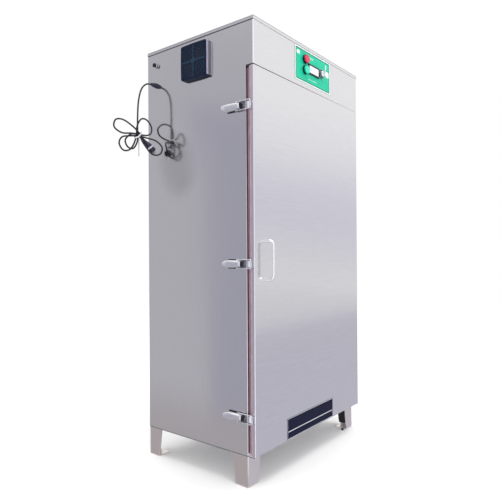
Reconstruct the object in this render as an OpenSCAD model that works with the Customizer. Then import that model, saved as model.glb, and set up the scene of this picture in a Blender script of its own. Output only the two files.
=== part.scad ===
// Free-standing hot-air sterilizing cabinet in folded stainless sheet.
// Millimetres, +Z up. The front faces -Y and the origin lies on the floor,
// in the middle of the four foot holes.

/* [Cabinet] */
// Width over the side panels
cabinet_w = 720; // [660:10:800]
// Depth of the carcass behind the door
carcass_d = 470; // [430:10:560]
// Height of the carcass from its bottom panel to the roof
carcass_h = 1400; // [1340:10:1500]
// Thickness of the folded sheet
sheet = 1.2; // [0.8:0.1:1.6]
// Height of the control bay above the door
bay_h = 151; // [148:1:180]
// Depth of the turned-down rim of the roof
roof_rim = 10; // [6:1:20]
// Thickness of the wool between the casing and the chamber
wool_t = 50; // [40:1:60]

/* [Legs] */
// Height of the legs
leg_h = 100; // [80:5:140]
// Thickness of the leg plate
leg_t = 2.5; // [2:0.5:4]
// Width of a leg flange at the top
leg_top_w = 64; // [58:1:80]
// Width of a leg flange at the foot
leg_foot_w = 52; // [46:1:56]
// Outside radius of the leg's bend
leg_bend_r = 4; // [4:0.5:6]
// Radius of the anchor hole in each foot
foot_hole_r = 5.5; // [4:0.5:7]
// Distance of the anchor hole from both outer faces
foot_inset = 27; // [25:1:32]

/* [Door] */
// Thickness of the closed door
door_t = 17; // [15:1:24]
// Depth of the outer door tray
skin_d = 12; // [9:1:12]
// Space between the door and the front frame, filled by the gasket
gasket_gap = 13; // [12:0.5:16]
// Gap under the fascia, and under the door to the bottom of the carcass
door_clear = 4; // [3:0.5:8]
// Radius of the door's folded front edges
door_edge_r = 2.5; // [1.5:0.5:4]
// Step from the outer tray in to the inner tray
tray_step = 1.5; // [0.5:0.5:3]
// Depth of the raised panel on the inside of the door
raised_d = 8; // [4:1:9]
// Width of the gasket
gasket_w = 13; // [10:1:16]
// Distance of the gasket from the edge of the door
gasket_in = 3.5; // [2:0.5:6]

/* [Handle] */
// Distance between the feet of the handle
handle_cc = 126; // [100:2:160]
// Distance of the bar's middle from the door
handle_reach = 30; // [26:1:40]
// Radius of the handle bar
handle_r = 5; // [4:0.5:7]
// Distance of the handle from the left edge of the door
handle_in = 61; // [45:1:80]
// Height of the handle's middle above the floor
handle_z = 724; // [600:1:900]

/* [Hinges] */
// Radius of a hinge barrel
barrel_r = 6; // [5:0.5:6]
// Height of a hinge
hinge_h = 84; // [70:2:110]
// Thickness of a hinge leaf
leaf_t = 2.5; // [2:0.5:3]
// Width of the leaf on the carcass
leaf_w = 30; // [26:1:40]
// Radius of a hinge pin
pin_r = 3; // [2:0.5:3.5]
// Distance of the upper and lower hinge from the ends of the door
hinge_end = 140; // [100:5:200]

/* [Latches] */
// Height of the upper latch above the floor
latch_top_z = 1220; // [1150:5:1260]
// Height of the middle latch above the floor
latch_mid_z = 713; // [650:1:760]
// Height of the lower latch above the floor
latch_low_z = 221; // [180:1:260]
// Distance of the lever's pivot behind the front frame
latch_in = 24; // [22:1:30]
// Distance of the lever's pivot from the side panel
latch_out = 9; // [8:0.5:11]
// Length of the lever from its pivot
lever_len = 64; // [50:1:66]
// Width over the lever's sides
lever_w = 24; // [22:1:28]
// Radius of the bail wire
bail_r = 1.75; // [1.5:0.25:2]
// Distance from the lever's pivot to the bail's pivot
bail_arm = 12; // [11:0.5:14]

/* [Cooling fan] */
// Side of the square fan and of its guard
fan_s = 120; // [110:1:124]
// Depth of the fan
fan_d = 38; // [32:1:45]
// Distance the guard stands out from the side panel
guard_t = 18; // [14:1:24]
// Distance of the fan's middle in front of the carcass's middle
fan_fwd = 18; // [0:1:60]
// Number of fan blades
fan_blades = 7; // [5:1:9]

/* [Controls] */
// Width of the control plate
plate_w = 248; // [230:2:280]
// Height of the control plate
plate_h = 122; // [110:1:130]
// Thickness of the control plate
plate_t = 1; // [0.5:0.5:2]
// Distance of the control plate to the right of the middle
plate_x = 6; // [-20:1:40]
// Radius of a push button
button_r = 14; // [12:0.5:15]
// Distance a push button travels
button_travel = 4; // [3:0.5:5]
// Distance between the two buttons
button_cc = 39; // [34:1:44]
// Width of the display's bezel
display_w = 76; // [64:1:84]
// Height of the display's bezel
display_h = 38; // [30:1:44]
// Radius of the selector knob
knob_r = 14; // [11:0.5:16]
// Height of the selector knob
knob_h = 18; // [14:1:22]

/* [Chamber] */
// Thickness of a shelf
shelf_t = 1.5; // [1:0.5:2.5]
// Depth of a shelf's turned-down rim
shelf_rim = 14; // [10:1:20]
// Width of a shelf rail
rail_w = 15; // [12:1:22]
// Radius of a heater tube
heater_r = 5; // [4:0.5:6]
// Height of the heater cover above the chamber floor
cover_h = 48; // [40:1:60]
// Depth of the air duct under the chamber ceiling
duct_h = 56; // [50:1:70]
// Radius of the circulation wheel
wheel_r = 75; // [60:1:90]
// Number of blades on the circulation wheel
wheel_blades = 10; // [6:1:14]

/* [Power entry] */
// Distance of the cord gland in front of the carcass's rear face
gland_in = 46; // [40:1:75]
// Height of the cord gland above the floor
gland_z = 1370; // [1368:1:1385]
// Distance of the fuse holder above the gland
fuse_up = 74; // [50:1:90]
// Diameter of the power cord
cord_d = 5.8; // [5:0.1:6.4]
// Distance the gland stands out from the side panel
gland_len = 24; // [20:1:30]

/* [Fits] */
// Radial clearance of a pin or shaft that turns in its bore
run_fit = 0.05; // [0.02:0.01:0.1]
// Clearance beside a piece that moves
side_fit = 0.3; // [0.3:0.1:0.5]
// Clearance between a soft piece and its seat
soft_fit = 0.3; // [0.2:0.1:0.5]
// Clearance round a piece that passes through a panel
hole_fit = 0.2; // [0.1:0.1:0.5]

/* [Hidden] */
$fn = 48;
eps = 0.1;

// Planes of the carcass
side_x = cabinet_w / 2;
back_y = carcass_d / 2;
gland_back = back_y - gland_in;
frame_y = -carcass_d / 2;
front_y = frame_y - gasket_gap - door_t;
base_z = leg_h;
roof_z = leg_h + carcass_h;
bay_z = roof_z - bay_h;
deck_z = bay_z - sheet;

// Planes of the chamber, at the inside of its liner
room_x = side_x - 2 * sheet - wool_t;
room_back = back_y - 2 * sheet - wool_t;
room_front = frame_y + sheet;
room_floor = base_z + 2 * sheet + wool_t;
room_ceiling = deck_z - sheet - wool_t;

// Planes of the door
door_z0 = base_z + door_clear;
door_z1 = bay_z - door_clear;
door_back = frame_y - gasket_gap;
seam_y = front_y + skin_d;

// Block between two corners
module block(a, b) {
  translate(a) cube(b - a);
}

// Frames with local Z pointing out of the left side panel, or out of the front
module at_left(y, z) {
  translate([-side_x, y, z]) rotate([0, -90, 0]) children();
}
module at_front(x, z) {
  translate([x, front_y, z]) rotate([90, 0, 0]) children();
}

// Rectangle with round corners, centred
module round_rect(w, h, r) {
  square([w - 2 * r, h], center = true);
  square([w, h - 2 * r], center = true);
  for (x = [-1, 1], y = [-1, 1])
    translate([x * (w / 2 - r), y * (h / 2 - r)]) circle(r);
}

// A profile carried round a rectangle with round corners, in the XY plane.
// The profile's X points out of the ring and its Y becomes Z.
module ring_of(w, h, r) {
  for (q = [0:3]) {
    run = q % 2 == 0 ? h - 2 * r : w - 2 * r;
    out = q % 2 == 0 ? w / 2 : h / 2;
    corner = q % 2 == 0 ? [w / 2 - r, h / 2 - r] : [h / 2 - r, w / 2 - r];
    rotate([0, 0, 90 * q]) {
      translate([out, run / 2, 0]) rotate([90, 0, 0]) linear_extrude(run) children();
      translate(corner) rotate_extrude(angle = 90) translate([r, 0]) children();
    }
  }
}

// ---- Casing ----

fan_z = bay_z + fan_s / 2 + 1;
fan_hole_r = fan_s / 2 - 3;
fan_screw_cc = fan_s - 15;
screw_r = 2;
gland_thread_r = 6;
fuse_body_r = 6;

module side_sheet() {
  rotate([90, 0, 90]) linear_extrude(sheet) polygon([
    [frame_y, base_z], [back_y - sheet, base_z], [back_y - sheet, roof_z - sheet],
    [front_y, roof_z - sheet], [front_y, bay_z], [frame_y, bay_z]
  ]);
}

module left_side_panel() color("#A8A8AC") difference() {
  translate([-side_x, 0, 0]) side_sheet();
  at_left(-fan_fwd, fan_z) {
    translate([0, 0, -sheet - eps]) cylinder(r = fan_hole_r, h = sheet + 2 * eps);
    for (x = [-1, 1], y = [-1, 1])
      translate([x, y, 0] * fan_screw_cc / 2 - [0, 0, sheet + eps])
        cylinder(r = screw_r + hole_fit, h = sheet + 2 * eps);
  }
  at_left(gland_back, gland_z) translate([0, 0, -sheet - eps])
    cylinder(r = gland_thread_r + hole_fit, h = sheet + 2 * eps);
  at_left(gland_back, gland_z + fuse_up) translate([0, 0, -sheet - eps])
    cylinder(r = fuse_body_r + hole_fit, h = sheet + 2 * eps);
}

module right_side_panel() color("#A8A8AC")
  translate([side_x - sheet, 0, 0]) side_sheet();

module back_panel() color("#A8A8AC")
  block([-side_x, back_y - sheet, base_z], [side_x, back_y, roof_z - sheet]);

module roof_cover() color("#B8B8BC") difference() {
  block([-side_x - sheet, front_y - sheet, roof_z - roof_rim],
        [side_x + sheet, back_y + sheet, roof_z]);
  block([-side_x, front_y, roof_z - roof_rim - eps],
        [side_x, back_y, roof_z - sheet]);
}

module bottom_panel() color("#9A9A9E")
  block([-side_x + sheet, room_front, base_z],
        [side_x - sheet, back_y - sheet, base_z + sheet]);

// Fascia with its folded lower edge and the cut-outs for the controls
module fascia_panel() color("#C8C8CC") difference() {
  union() {
    block([-side_x + sheet, front_y, bay_z],
          [side_x - sheet, front_y + sheet, roof_z - sheet]);
    block([-side_x + sheet, front_y, bay_z],
          [side_x - sheet, frame_y, bay_z + sheet]);
  }
  control_cuts(sheet + eps);
}

// Front frame round the chamber's mouth
module front_frame() color("#B0B0B4") difference() {
  block([-side_x + sheet, frame_y, base_z], [side_x - sheet, room_front, deck_z]);
  block([-room_x, frame_y - eps, room_floor], [room_x, room_front + eps, room_ceiling]);
}

// Deck that carries the motor and closes the control bay
module machine_deck() color("#9A9A9E") difference() {
  block([-side_x + sheet, frame_y, deck_z], [side_x - sheet, back_y - sheet, bay_z]);
  translate([motor_x, motor_y, deck_z - eps])
    cylinder(r = shaft_hole_r, h = sheet + 2 * eps);
}

module liner_sides() color("#B8B8BC") for (s = [-1, 1])
  block([s * (room_x + sheet / 2) - sheet / 2, room_front, room_floor],
        [s * (room_x + sheet / 2) + sheet / 2, room_back, room_ceiling]);

module liner_back() color("#B8B8BC")
  block([-room_x - sheet, room_back, room_floor],
        [room_x + sheet, room_back + sheet, room_ceiling]);

module liner_ceiling() color("#B8B8BC") difference() {
  block([-room_x - sheet, room_front, room_ceiling],
        [room_x + sheet, room_back + sheet, room_ceiling + sheet]);
  translate([motor_x, motor_y, room_ceiling - eps])
    cylinder(r = shaft_hole_r, h = sheet + 2 * eps);
}

module liner_floor() color("#B8B8BC")
  block([-room_x - sheet, room_front, room_floor - sheet],
        [room_x + sheet, room_back + sheet, room_floor]);

module insulation() color("#E8DCA8") difference() {
  block([-side_x + sheet, room_front, base_z + sheet],
        [side_x - sheet, back_y - sheet, deck_z]);
  block([-room_x - sheet, room_front - eps, room_floor - sheet],
        [room_x + sheet, room_back + sheet, room_ceiling + sheet]);
  translate([motor_x, motor_y, room_ceiling])
    cylinder(r = shaft_hole_r, h = wool_t + 2 * sheet);
}

// ---- Legs ----

// Bent angle with its corner at the origin, arms towards -X and -Y
module bent_angle() {
  translate([-leg_top_w, -leg_t]) square([leg_top_w - leg_bend_r, leg_t]);
  translate([-leg_t, -leg_top_w]) square([leg_t, leg_top_w - leg_bend_r]);
  translate([-leg_bend_r, -leg_bend_r]) intersection() {
    difference() {
      circle(leg_bend_r);
      circle(leg_bend_r - leg_t);
    }
    square(leg_bend_r);
  }
}

// Taper that both flanges are cut to, seen square on to a flange
module leg_taper() {
  polygon([[0, 0], [-leg_foot_w, 0], [-leg_top_w, leg_h], [0, leg_h]]);
}

module leg() {
  intersection() {
    linear_extrude(leg_h) bent_angle();
    translate([0, eps, 0]) rotate([90, 0, 0]) linear_extrude(leg_top_w + 2 * eps) leg_taper();
    translate([eps, 0, 0]) rotate([90, 0, 90]) mirror([0, 0, 1])
      linear_extrude(leg_top_w + 2 * eps) leg_taper();
  }
  difference() {
    block([-leg_foot_w, -leg_foot_w, 0], [-leg_t, -leg_t, leg_t]);
    translate([-foot_inset, -foot_inset, -eps])
      cylinder(r = foot_hole_r, h = leg_t + 2 * eps);
  }
  block([-leg_top_w, -leg_top_w, leg_h - leg_t], [-leg_t, -leg_t, leg_h]);
}

module legs() color("#A49C9F") for (mx = [0, 1], my = [0, 1])
  mirror([mx, 0, 0]) mirror([0, my, 0]) translate([side_x, back_y, 0]) leg();

// ---- Cooling fan on the left side ----

guard_open_r = fan_s / 2 - 6;
guard_bar_t = 3;
guard_bar_w = 4;
filter_t = 6;
rotor_r = fan_hole_r - 3;
rotor_hub_r = 20;
rotor_d = 24;
blade_chord = 28;
rotor_shaft_r = 2;
rotor_shaft_h = 8;
fan_hub_r = 22;
fan_hub_t = 6;

// Square guard with a round grille: rings, spokes and a hub in one moulding
module fan_guard() color("#1B263B") at_left(-fan_fwd, fan_z) {
  difference() {
    linear_extrude(guard_t) round_rect(fan_s, fan_s, 6);
    translate([0, 0, -eps]) cylinder(r = guard_open_r, h = guard_t + 2 * eps, $fn = 96);
    for (x = [-1, 1], y = [-1, 1])
      translate([x, y, 0] * fan_screw_cc / 2 - [0, 0, eps])
        cylinder(r = screw_r + hole_fit, h = guard_t + 2 * eps);
  }
  translate([0, 0, guard_t - guard_bar_t]) {
    cylinder(r = 11, h = guard_bar_t);
    for (r = [22:10:52]) linear_extrude(guard_bar_t) difference() {
      circle(r + 1);
      circle(r - 1);
    }
    for (q = [0:3]) rotate([0, 0, 90 * q])
      block([10, -guard_bar_w / 2, 0], [guard_open_r + eps, guard_bar_w / 2, guard_bar_t]);
  }
}

module fan_filter() color("#20242C") at_left(-fan_fwd, fan_z)
  translate([0, 0, guard_t - guard_bar_t - filter_t])
    cylinder(r = guard_open_r - side_fit, h = filter_t, $fn = 96);

module fan_housing() color("#22252B") at_left(-fan_fwd, fan_z)
  translate([0, 0, -sheet - fan_d]) {
    difference() {
      linear_extrude(fan_d) round_rect(fan_s, fan_s, 6);
      translate([0, 0, -eps]) cylinder(r = fan_hole_r, h = fan_d + 2 * eps, $fn = 96);
      for (x = [-1, 1], y = [-1, 1])
        translate([x, y, 0] * fan_screw_cc / 2 - [0, 0, eps])
          cylinder(r = screw_r + hole_fit, h = fan_d + 2 * eps);
    }
    difference() {
      union() {
        cylinder(r = fan_hub_r, h = fan_hub_t);
        for (a = [30:120:270]) rotate([0, 0, a])
          block([0, -3, 0], [fan_hole_r + 1, 3, fan_hub_t - 1]);
      }
      translate([0, 0, -eps])
        cylinder(r = rotor_shaft_r + run_fit, h = fan_hub_t + 2 * eps);
    }
  }

module fan_rotor() color("#2A2D33") at_left(-fan_fwd, fan_z)
  translate([0, 0, -sheet - fan_d + fan_hub_t + side_fit]) {
    cylinder(r = rotor_hub_r, h = rotor_d);
    translate([0, 0, -rotor_shaft_h + side_fit])
      cylinder(r = rotor_shaft_r, h = rotor_shaft_h);
    for (i = [0:fan_blades - 1]) rotate([0, 0, i * 360 / fan_blades])
      translate([rotor_hub_r - 4, 0, rotor_d / 2]) rotate([50, 0, 0])
        block([0, -blade_chord / 2, -0.9], [rotor_r - rotor_hub_r + 2, blade_chord / 2, 0.9]);
  }

// ---- Controls ----

plate_z = (bay_z + roof_z) / 2 + 1;
button_x = plate_x - 60;
button_z = plate_z + 5;
display_z = plate_z - 2;
knob_x = plate_x + 56;
knob_z = display_z + 4;
bezel_w = 2;
bezel_h = 8;
button_barrel_r = 11;
button_stem_r = 7;
button_stem_l = 30;
button_cap_h = 8;
window_w = display_w - 10;
window_h = display_h - 10;
window_t = 2;
display_proud = 4;
knob_rim_h = 5;
knob_stem_r = 6;
knob_barrel_r = 9;
barrel_l = 26;

// Holes for the controls, cut to a depth behind the fascia's face
module control_cuts(deep) {
  for (s = [-1, 1]) at_front(button_x, button_z + s * button_cc / 2)
    translate([0, 0, -deep]) cylinder(r = button_barrel_r + hole_fit, h = deep + 2);
  at_front(knob_x, knob_z) translate([0, 0, -deep])
    cylinder(r = knob_barrel_r + hole_fit, h = deep + 2);
  at_front(plate_x, display_z) translate([0, 0, -deep]) linear_extrude(deep + 2)
    square([window_w + 2 * hole_fit, window_h + 2 * hole_fit], center = true);
}

module control_plate() color("#5FD8BA") difference() {
  at_front(plate_x, plate_z) linear_extrude(plate_t) round_rect(plate_w, plate_h, 3);
  control_cuts(eps);
}

// Flanged ring with a barrel behind it and a bore for the moving stem
module bezel(r, rim_h, barrel, stem) {
  difference() {
    union() {
      translate([0, 0, plate_t]) cylinder(r = r + bezel_w, h = rim_h);
      translate([0, 0, -barrel_l]) cylinder(r = barrel, h = barrel_l + plate_t);
    }
    translate([0, 0, plate_t + 0.5]) cylinder(r = r + side_fit, h = rim_h);
    translate([0, 0, -barrel_l - eps])
      cylinder(r = stem + run_fit, h = barrel_l + plate_t + 1);
  }
}

module button_bezels() color("#15171A")
  for (s = [-1, 1]) at_front(button_x, button_z + s * button_cc / 2)
    bezel(button_r, bezel_h, button_barrel_r, button_stem_r);

// Cap with a shallow dished face, on a round stem
module push_button() {
  rest = plate_t + 0.5 + button_travel + side_fit;
  difference() {
    translate([0, 0, rest]) cylinder(r = button_r, h = button_cap_h);
    translate([0, 0, rest + button_cap_h - 0.8]) cylinder(r1 = button_r - 3, r2 = button_r - 2, h = 1);
  }
  translate([0, 0, rest - button_stem_l]) cylinder(r = button_stem_r, h = button_stem_l);
}

module red_button() color("#D5305A")
  at_front(button_x, button_z + button_cc / 2) push_button();

module green_button() color("#14D3A8")
  at_front(button_x, button_z - button_cc / 2) push_button();

module display_bezel() color("#15171A") at_front(plate_x, display_z) difference() {
  union() {
    translate([0, 0, plate_t]) linear_extrude(display_proud)
      round_rect(display_w, display_h, 2);
    translate([0, 0, -sheet]) linear_extrude(sheet + plate_t)
      square([window_w, window_h], center = true);
  }
  translate([0, 0, plate_t + display_proud - window_t - 0.6]) linear_extrude(window_t + 2)
    square([window_w - 2, window_h - 2], center = true);
}

module display_window() color("#DDEBF2") at_front(plate_x, display_z)
  translate([0, 0, plate_t + display_proud - window_t - 0.6]) linear_extrude(window_t)
    square([window_w - 2, window_h - 2], center = true);

module selector_bezel() color("#B9BBC0") at_front(knob_x, knob_z)
  bezel(knob_r + 1.5, knob_rim_h, knob_barrel_r, knob_stem_r);

// Round knob with a finger ridge across its face
module selector_knob() color("#D2D3D8") at_front(knob_x, knob_z) {
  rest = plate_t + 0.5 + side_fit;
  translate([0, 0, rest]) cylinder(r = knob_r, h = knob_h * 0.6);
  translate([0, 0, rest + knob_h * 0.6]) intersection() {
    cylinder(r1 = knob_r, r2 = knob_r - 1.5, h = knob_h * 0.4);
    translate([0, 0, knob_h * 0.2]) cube([7, 3 * knob_r, knob_h * 0.4], center = true);
  }
  translate([0, 0, rest - barrel_l]) cylinder(r = knob_stem_r, h = barrel_l);
}

// Controller body behind the display, with its row of terminals
module control_module() color("#30343A") at_front(plate_x, display_z)
  translate([0, 0, -sheet]) mirror([0, 0, 1]) {
    linear_extrude(62) round_rect(window_w, window_h, 2);
    for (i = [-4:4]) translate([i * 6.5, 0, 62]) linear_extrude(5)
      square([5, window_h - 8], center = true);
  }

// ---- Power entry ----

gland_hex_r = 10;
gland_hex_h = 6;
gland_nose_r = 5;

module cord_gland() color("#17181C") at_left(gland_back, gland_z) {
  translate([0, 0, -sheet - 12]) cylinder(r = gland_thread_r, h = sheet + 12);
  cylinder(r = gland_hex_r, h = gland_hex_h, $fn = 6);
  translate([0, 0, gland_hex_h]) cylinder(r = 8, h = 8);
  translate([0, 0, gland_hex_h + 8])
    cylinder(r1 = 8, r2 = gland_nose_r, h = gland_len - gland_hex_h - 8);
  translate([0, 0, -sheet - 5]) cylinder(r = gland_hex_r, h = 5, $fn = 6);
}

module fuse_holder() color("#17181C") at_left(gland_back, gland_z + fuse_up) {
  translate([0, 0, -sheet - 28]) cylinder(r = fuse_body_r, h = sheet + 28);
  cylinder(r = 8.5, h = 2);
  difference() {
    translate([0, 0, 2]) cylinder(r = 7.5, h = 10);
    translate([-10, -0.8, 10.5]) cube([20, 1.6, 3]);
  }
  translate([0, 0, -sheet - 4]) cylinder(r = 9, h = 4, $fn = 6);
}

// ---- Power cord, coiled up and tied ----

// Stations of the cord's middle line: down from the gland, then through the
// tie six times with five loops between
cord_route = [
  [-side_x - gland_len, gland_back, gland_z], [-410, 189, 1363], [-430, 191, 1340],
  [-440, 195, 1295], [-442, 198, 1230], [-442, 198, 1172],
  [-444, 200, 1146], [-459, 203, 1124], [-481, 205, 1127],
  [-492, 204, 1149], [-475, 195, 1171], [-445, 191, 1175],
  [-410, 190, 1177], [-382, 197, 1190], [-376, 200, 1215],
  [-400, 197, 1236], [-432, 190, 1232], [-447, 194, 1205], [-448, 198, 1172],
  [-452, 207, 1142], [-468, 212, 1119], [-493, 215, 1115],
  [-510, 215, 1136], [-498, 214, 1160], [-470, 202, 1167], [-445, 191, 1169],
  [-413, 185, 1167], [-384, 166, 1158], [-371, 148, 1134],
  [-384, 146, 1107], [-412, 156, 1105], [-434, 173, 1139], [-448, 184, 1170],
  [-475, 187, 1173], [-507, 204, 1172], [-530, 216, 1190],
  [-523, 216, 1217], [-497, 206, 1219], [-466, 189, 1196], [-443, 184, 1175],
  [-432, 184, 1162]
];
tie_at = [-445, 191.6, 1172];
cord_sides = 8;
cord_steps = 2;
cord_last = len(cord_route) - 1;
plug_dir = [0.62, -0.25, -0.74] / norm([0.62, -0.25, -0.74]);

// Smooth curve through the stations
function station(i) =
  i < 0 ? 2 * cord_route[0] - cord_route[1] :
  i > cord_last ? 2 * cord_route[cord_last] - cord_route[cord_last - 1] :
  cord_route[i];
function curve(a, b, c, d, t) =
  (2 * b + (c - a) * t + (2 * a - 5 * b + 4 * c - d) * pow(t, 2)
    + (3 * b - a - 3 * c + d) * pow(t, 3)) / 2;
cord_line = concat(
  [for (i = [0:cord_last - 1], k = [0:cord_steps - 1])
    curve(station(i - 1), station(i), station(i + 1), station(i + 2), k / cord_steps)],
  [cord_route[cord_last]]);
cord_rings = len(cord_line);

// Direction of the line at each ring, and a side vector carried from ring to ring
function unit(v) = v / norm(v);
cord_dirs = [for (i = [0:cord_rings - 1])
  i == 0 ? [-1, 0, 0] :
  i == cord_rings - 1 ? plug_dir :
  unit(cord_line[i + 1] - cord_line[i - 1])];
function carried(i, v) = unit(v - (v * cord_dirs[i]) * cord_dirs[i]);
function side_list(i, v) =
  i == cord_rings ? [] :
  let (w = carried(i, v)) concat([w], side_list(i + 1, w));
cord_side = side_list(0, [0, 1, 0]);

// Tube swept along a line by rings of points
module power_cord() color("#1B1C20") {
  points = [for (i = [0:cord_rings - 1], k = [0:cord_sides - 1])
    let (a = 360 * k / cord_sides)
    cord_line[i] + cord_d / 2 * (cos(a) * cord_side[i]
      + sin(a) * cross(cord_dirs[i], cord_side[i]))];
  walls = [for (i = [0:cord_rings - 2], k = [0:cord_sides - 1])
    let (a = i * cord_sides + k, b = i * cord_sides + (k + 1) % cord_sides)
    each [[a, a + cord_sides, b], [b, a + cord_sides, b + cord_sides]]];
  start = [[for (k = [0:cord_sides - 1]) k]];
  finish = [[for (k = [cord_sides - 1:-1:0]) (cord_rings - 1) * cord_sides + k]];
  polyhedron(points, concat(walls, start, finish));
}

// Band round the bundle, its head and the tail that hangs from it
tie_w = 4.8;
tie_t = 1.2;
tie_depth = 23.6;
tie_span = 26;

module cable_tie() color("#F2F2F0") {
  translate(tie_at) rotate([0, 135, 0]) translate([0, 0, -tie_w / 2])
    ring_of(tie_span + 2 * tie_t, tie_depth + 2 * tie_t, 5) translate([-tie_t, 0])
      square([tie_t, tie_w]);
  translate(tie_at) block([8, 5, 7], [15, 14, 13]);
  translate(tie_at) block([11, 12.5, -72], [11 + tie_w, 12.5 + tie_t, 14]);
}

// Three-pin plug: strain relief, tapered body and flat blades
plug_relief_l = 18;
plug_body_l = 32;
plug_blade_l = 17;

module power_plug() color("#1B1C20")
  translate(cord_route[cord_last])
    rotate([0, acos(plug_dir[2]), atan2(plug_dir[1], plug_dir[0])]) {
      cylinder(r1 = cord_d / 2 + 0.8, r2 = 6, h = plug_relief_l);
      for (h = [4:4:14]) translate([0, 0, h]) cylinder(r = 5.6, h = 1.6);
      translate([0, 0, plug_relief_l]) {
        cylinder(r1 = 6, r2 = 11, h = 12);
        translate([0, 0, 12]) cylinder(r = 11, h = plug_body_l - 16);
        translate([0, 0, plug_body_l - 4]) intersection() {
          cylinder(r = 15, h = 4);
          cube([24, 30, 20], center = true);
        }
        translate([0, 0, plug_body_l]) {
          for (s = [-1, 1]) rotate([0, 0, 180 + s * 30]) translate([7, 0, plug_blade_l / 2])
            cube([1.6, 6.3, plug_blade_l], center = true);
          translate([8, 0, plug_blade_l / 2]) cube([6.3, 1.6, plug_blade_l], center = true);
        }
      }
    }

// ---- Chamber fittings ----

shelf_gap = 3;
slot_w = 8;
shelf_front = room_front + 18;
shelf_back = room_back - 12;
shelf_low_z = 420;
shelf_step = 280;

// Rows of round-ended slots over a rectangle centred on the origin
module slots(w, d, nx, ny) {
  for (i = [0:nx - 1], j = [0:ny - 1])
    translate([(i + 0.5) * w / nx - w / 2, (j + 0.5) * d / ny - d / 2]) {
      square([slot_w, d / ny - 2 * slot_w - 6], center = true);
      for (s = [-1, 1]) translate([0, s * (d / ny / 2 - slot_w - 3)]) circle(d = slot_w);
    }
}

module shelf(z) color("#B8B8BC") {
  w = 2 * (room_x - shelf_gap);
  d = shelf_back - shelf_front;
  inner = room_x - rail_w - 4;
  translate([0, (shelf_front + shelf_back) / 2, z]) linear_extrude(shelf_t) difference() {
    square([w, d], center = true);
    slots(w - 60, d - 30, 14, 4);
  }
  for (y = [shelf_front, shelf_back - shelf_t])
    block([-inner, y, z - shelf_rim], [inner, y + shelf_t, z + eps]);
}
module upper_shelf() shelf(shelf_low_z + 2 * shelf_step);
module middle_shelf() shelf(shelf_low_z + shelf_step);
module lower_shelf() shelf(shelf_low_z);

// Angle rails on the side liners, a pair under each shelf
module shelf_rails() color("#A8A8AC")
  for (s = [0, 1], i = [0:2]) mirror([s, 0, 0])
    translate([room_x, 0, shelf_low_z + i * shelf_step]) {
      block([-rail_w, shelf_front, -shelf_t], [0, shelf_back, 0]);
      block([-shelf_t, shelf_front, -rail_w], [0, shelf_back, 0]);
    }

// Hairpin tubes with a flange on the rear liner and a saddle at the front
heater_z = 24;
heater_half = 30;
heater_pitch = 190;
heater_front = 80;
heater_bend_y = room_front + heater_front;
flange_half = 12;
flange_t = 3;
saddle_over = 8;
saddle_l = 16;
saddle_y = heater_bend_y + 6;

module heater_elements() color("#6F6A66") for (i = [-1 : 1])
  translate([i * heater_pitch, 0, room_floor + heater_z]) {
    for (s = [-1, 1]) translate([s * heater_half, heater_bend_y, 0]) rotate([-90, 0, 0])
      cylinder(r = heater_r, h = room_back - heater_bend_y);
    translate([0, heater_bend_y, 0]) rotate([0, 0, 180])
      rotate_extrude(angle = 180) translate([heater_half, 0]) circle(heater_r);
    block([-heater_half - flange_half, room_back - flange_t, -flange_half],
          [heater_half + flange_half, room_back, flange_half]);
    block([-heater_half - saddle_over, saddle_y, -heater_z],
          [heater_half + saddle_over, saddle_y + saddle_l, 1 - heater_r]);
  }

module heater_cover() color("#B8B8BC") {
  x1 = room_x - 6;
  y0 = room_front + 14;
  y1 = room_back - 16;
  translate([0, (y0 + y1) / 2, room_floor + cover_h - shelf_t]) linear_extrude(shelf_t)
    difference() {
      square([2 * x1, y1 - y0], center = true);
      slots(2 * x1 - 60, y1 - y0 - 30, 14, 4);
    }
  for (s = [0, 1]) mirror([s, 0, 0])
    block([x1 - shelf_t, y0, room_floor], [x1, y1, room_floor + cover_h - shelf_t + eps]);
}

// Plate under the circulation wheel, with its inlet and two rows of outlets
motor_x = 60;
motor_y = 30;
shaft_r = 4;
shaft_hole_r = 8;
motor_r = 40;
motor_h = 72;

module air_baffle() color("#B8B8BC") {
  z = room_ceiling - duct_h;
  y0 = room_front + 40;
  difference() {
    block([-room_x, y0, z], [room_x, room_back, z + sheet]);
    translate([motor_x, motor_y, z - eps]) cylinder(r = wheel_r * 0.7, h = 2 * sheet);
    for (s = [-1, 1]) translate([s * (room_x - 40), (y0 + room_back) / 2, z - eps])
      linear_extrude(2 * sheet) slots(48, room_back - y0 - 40, 2, 5);
  }
  block([-room_x, y0, z], [room_x, y0 + sheet, room_ceiling]);
}

probe_x = -150;
probe_z = 1120;
probe_len = 90;

module temperature_probe() color("#8A8C90")
  translate([probe_x, room_back, probe_z]) rotate([90, 0, 0]) {
    cylinder(r = 3, h = probe_len);
    cylinder(r = 9, h = 4, $fn = 6);
  }

module circulation_motor() color("#4A4D52") translate([motor_x, motor_y, bay_z])
  difference() {
    union() {
      cylinder(r = motor_r + 8, h = 4);
      cylinder(r = motor_r, h = motor_h - 8);
      translate([0, 0, motor_h - 8]) cylinder(r1 = motor_r, r2 = motor_r - 8, h = 8);
      for (i = [0:11]) rotate([0, 0, 30 * i])
        block([motor_r - 1, -1, 8], [motor_r + 4, 1, motor_h - 12]);
    }
    translate([0, 0, -eps]) cylinder(r = shaft_r + run_fit, h = motor_h / 2 + eps);
  }

// Backward-curved wheel on its shaft
wheel_plate_z = room_ceiling - 10;
wheel_h = 30;
wheel_eye_r = wheel_r * 0.66;

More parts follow.
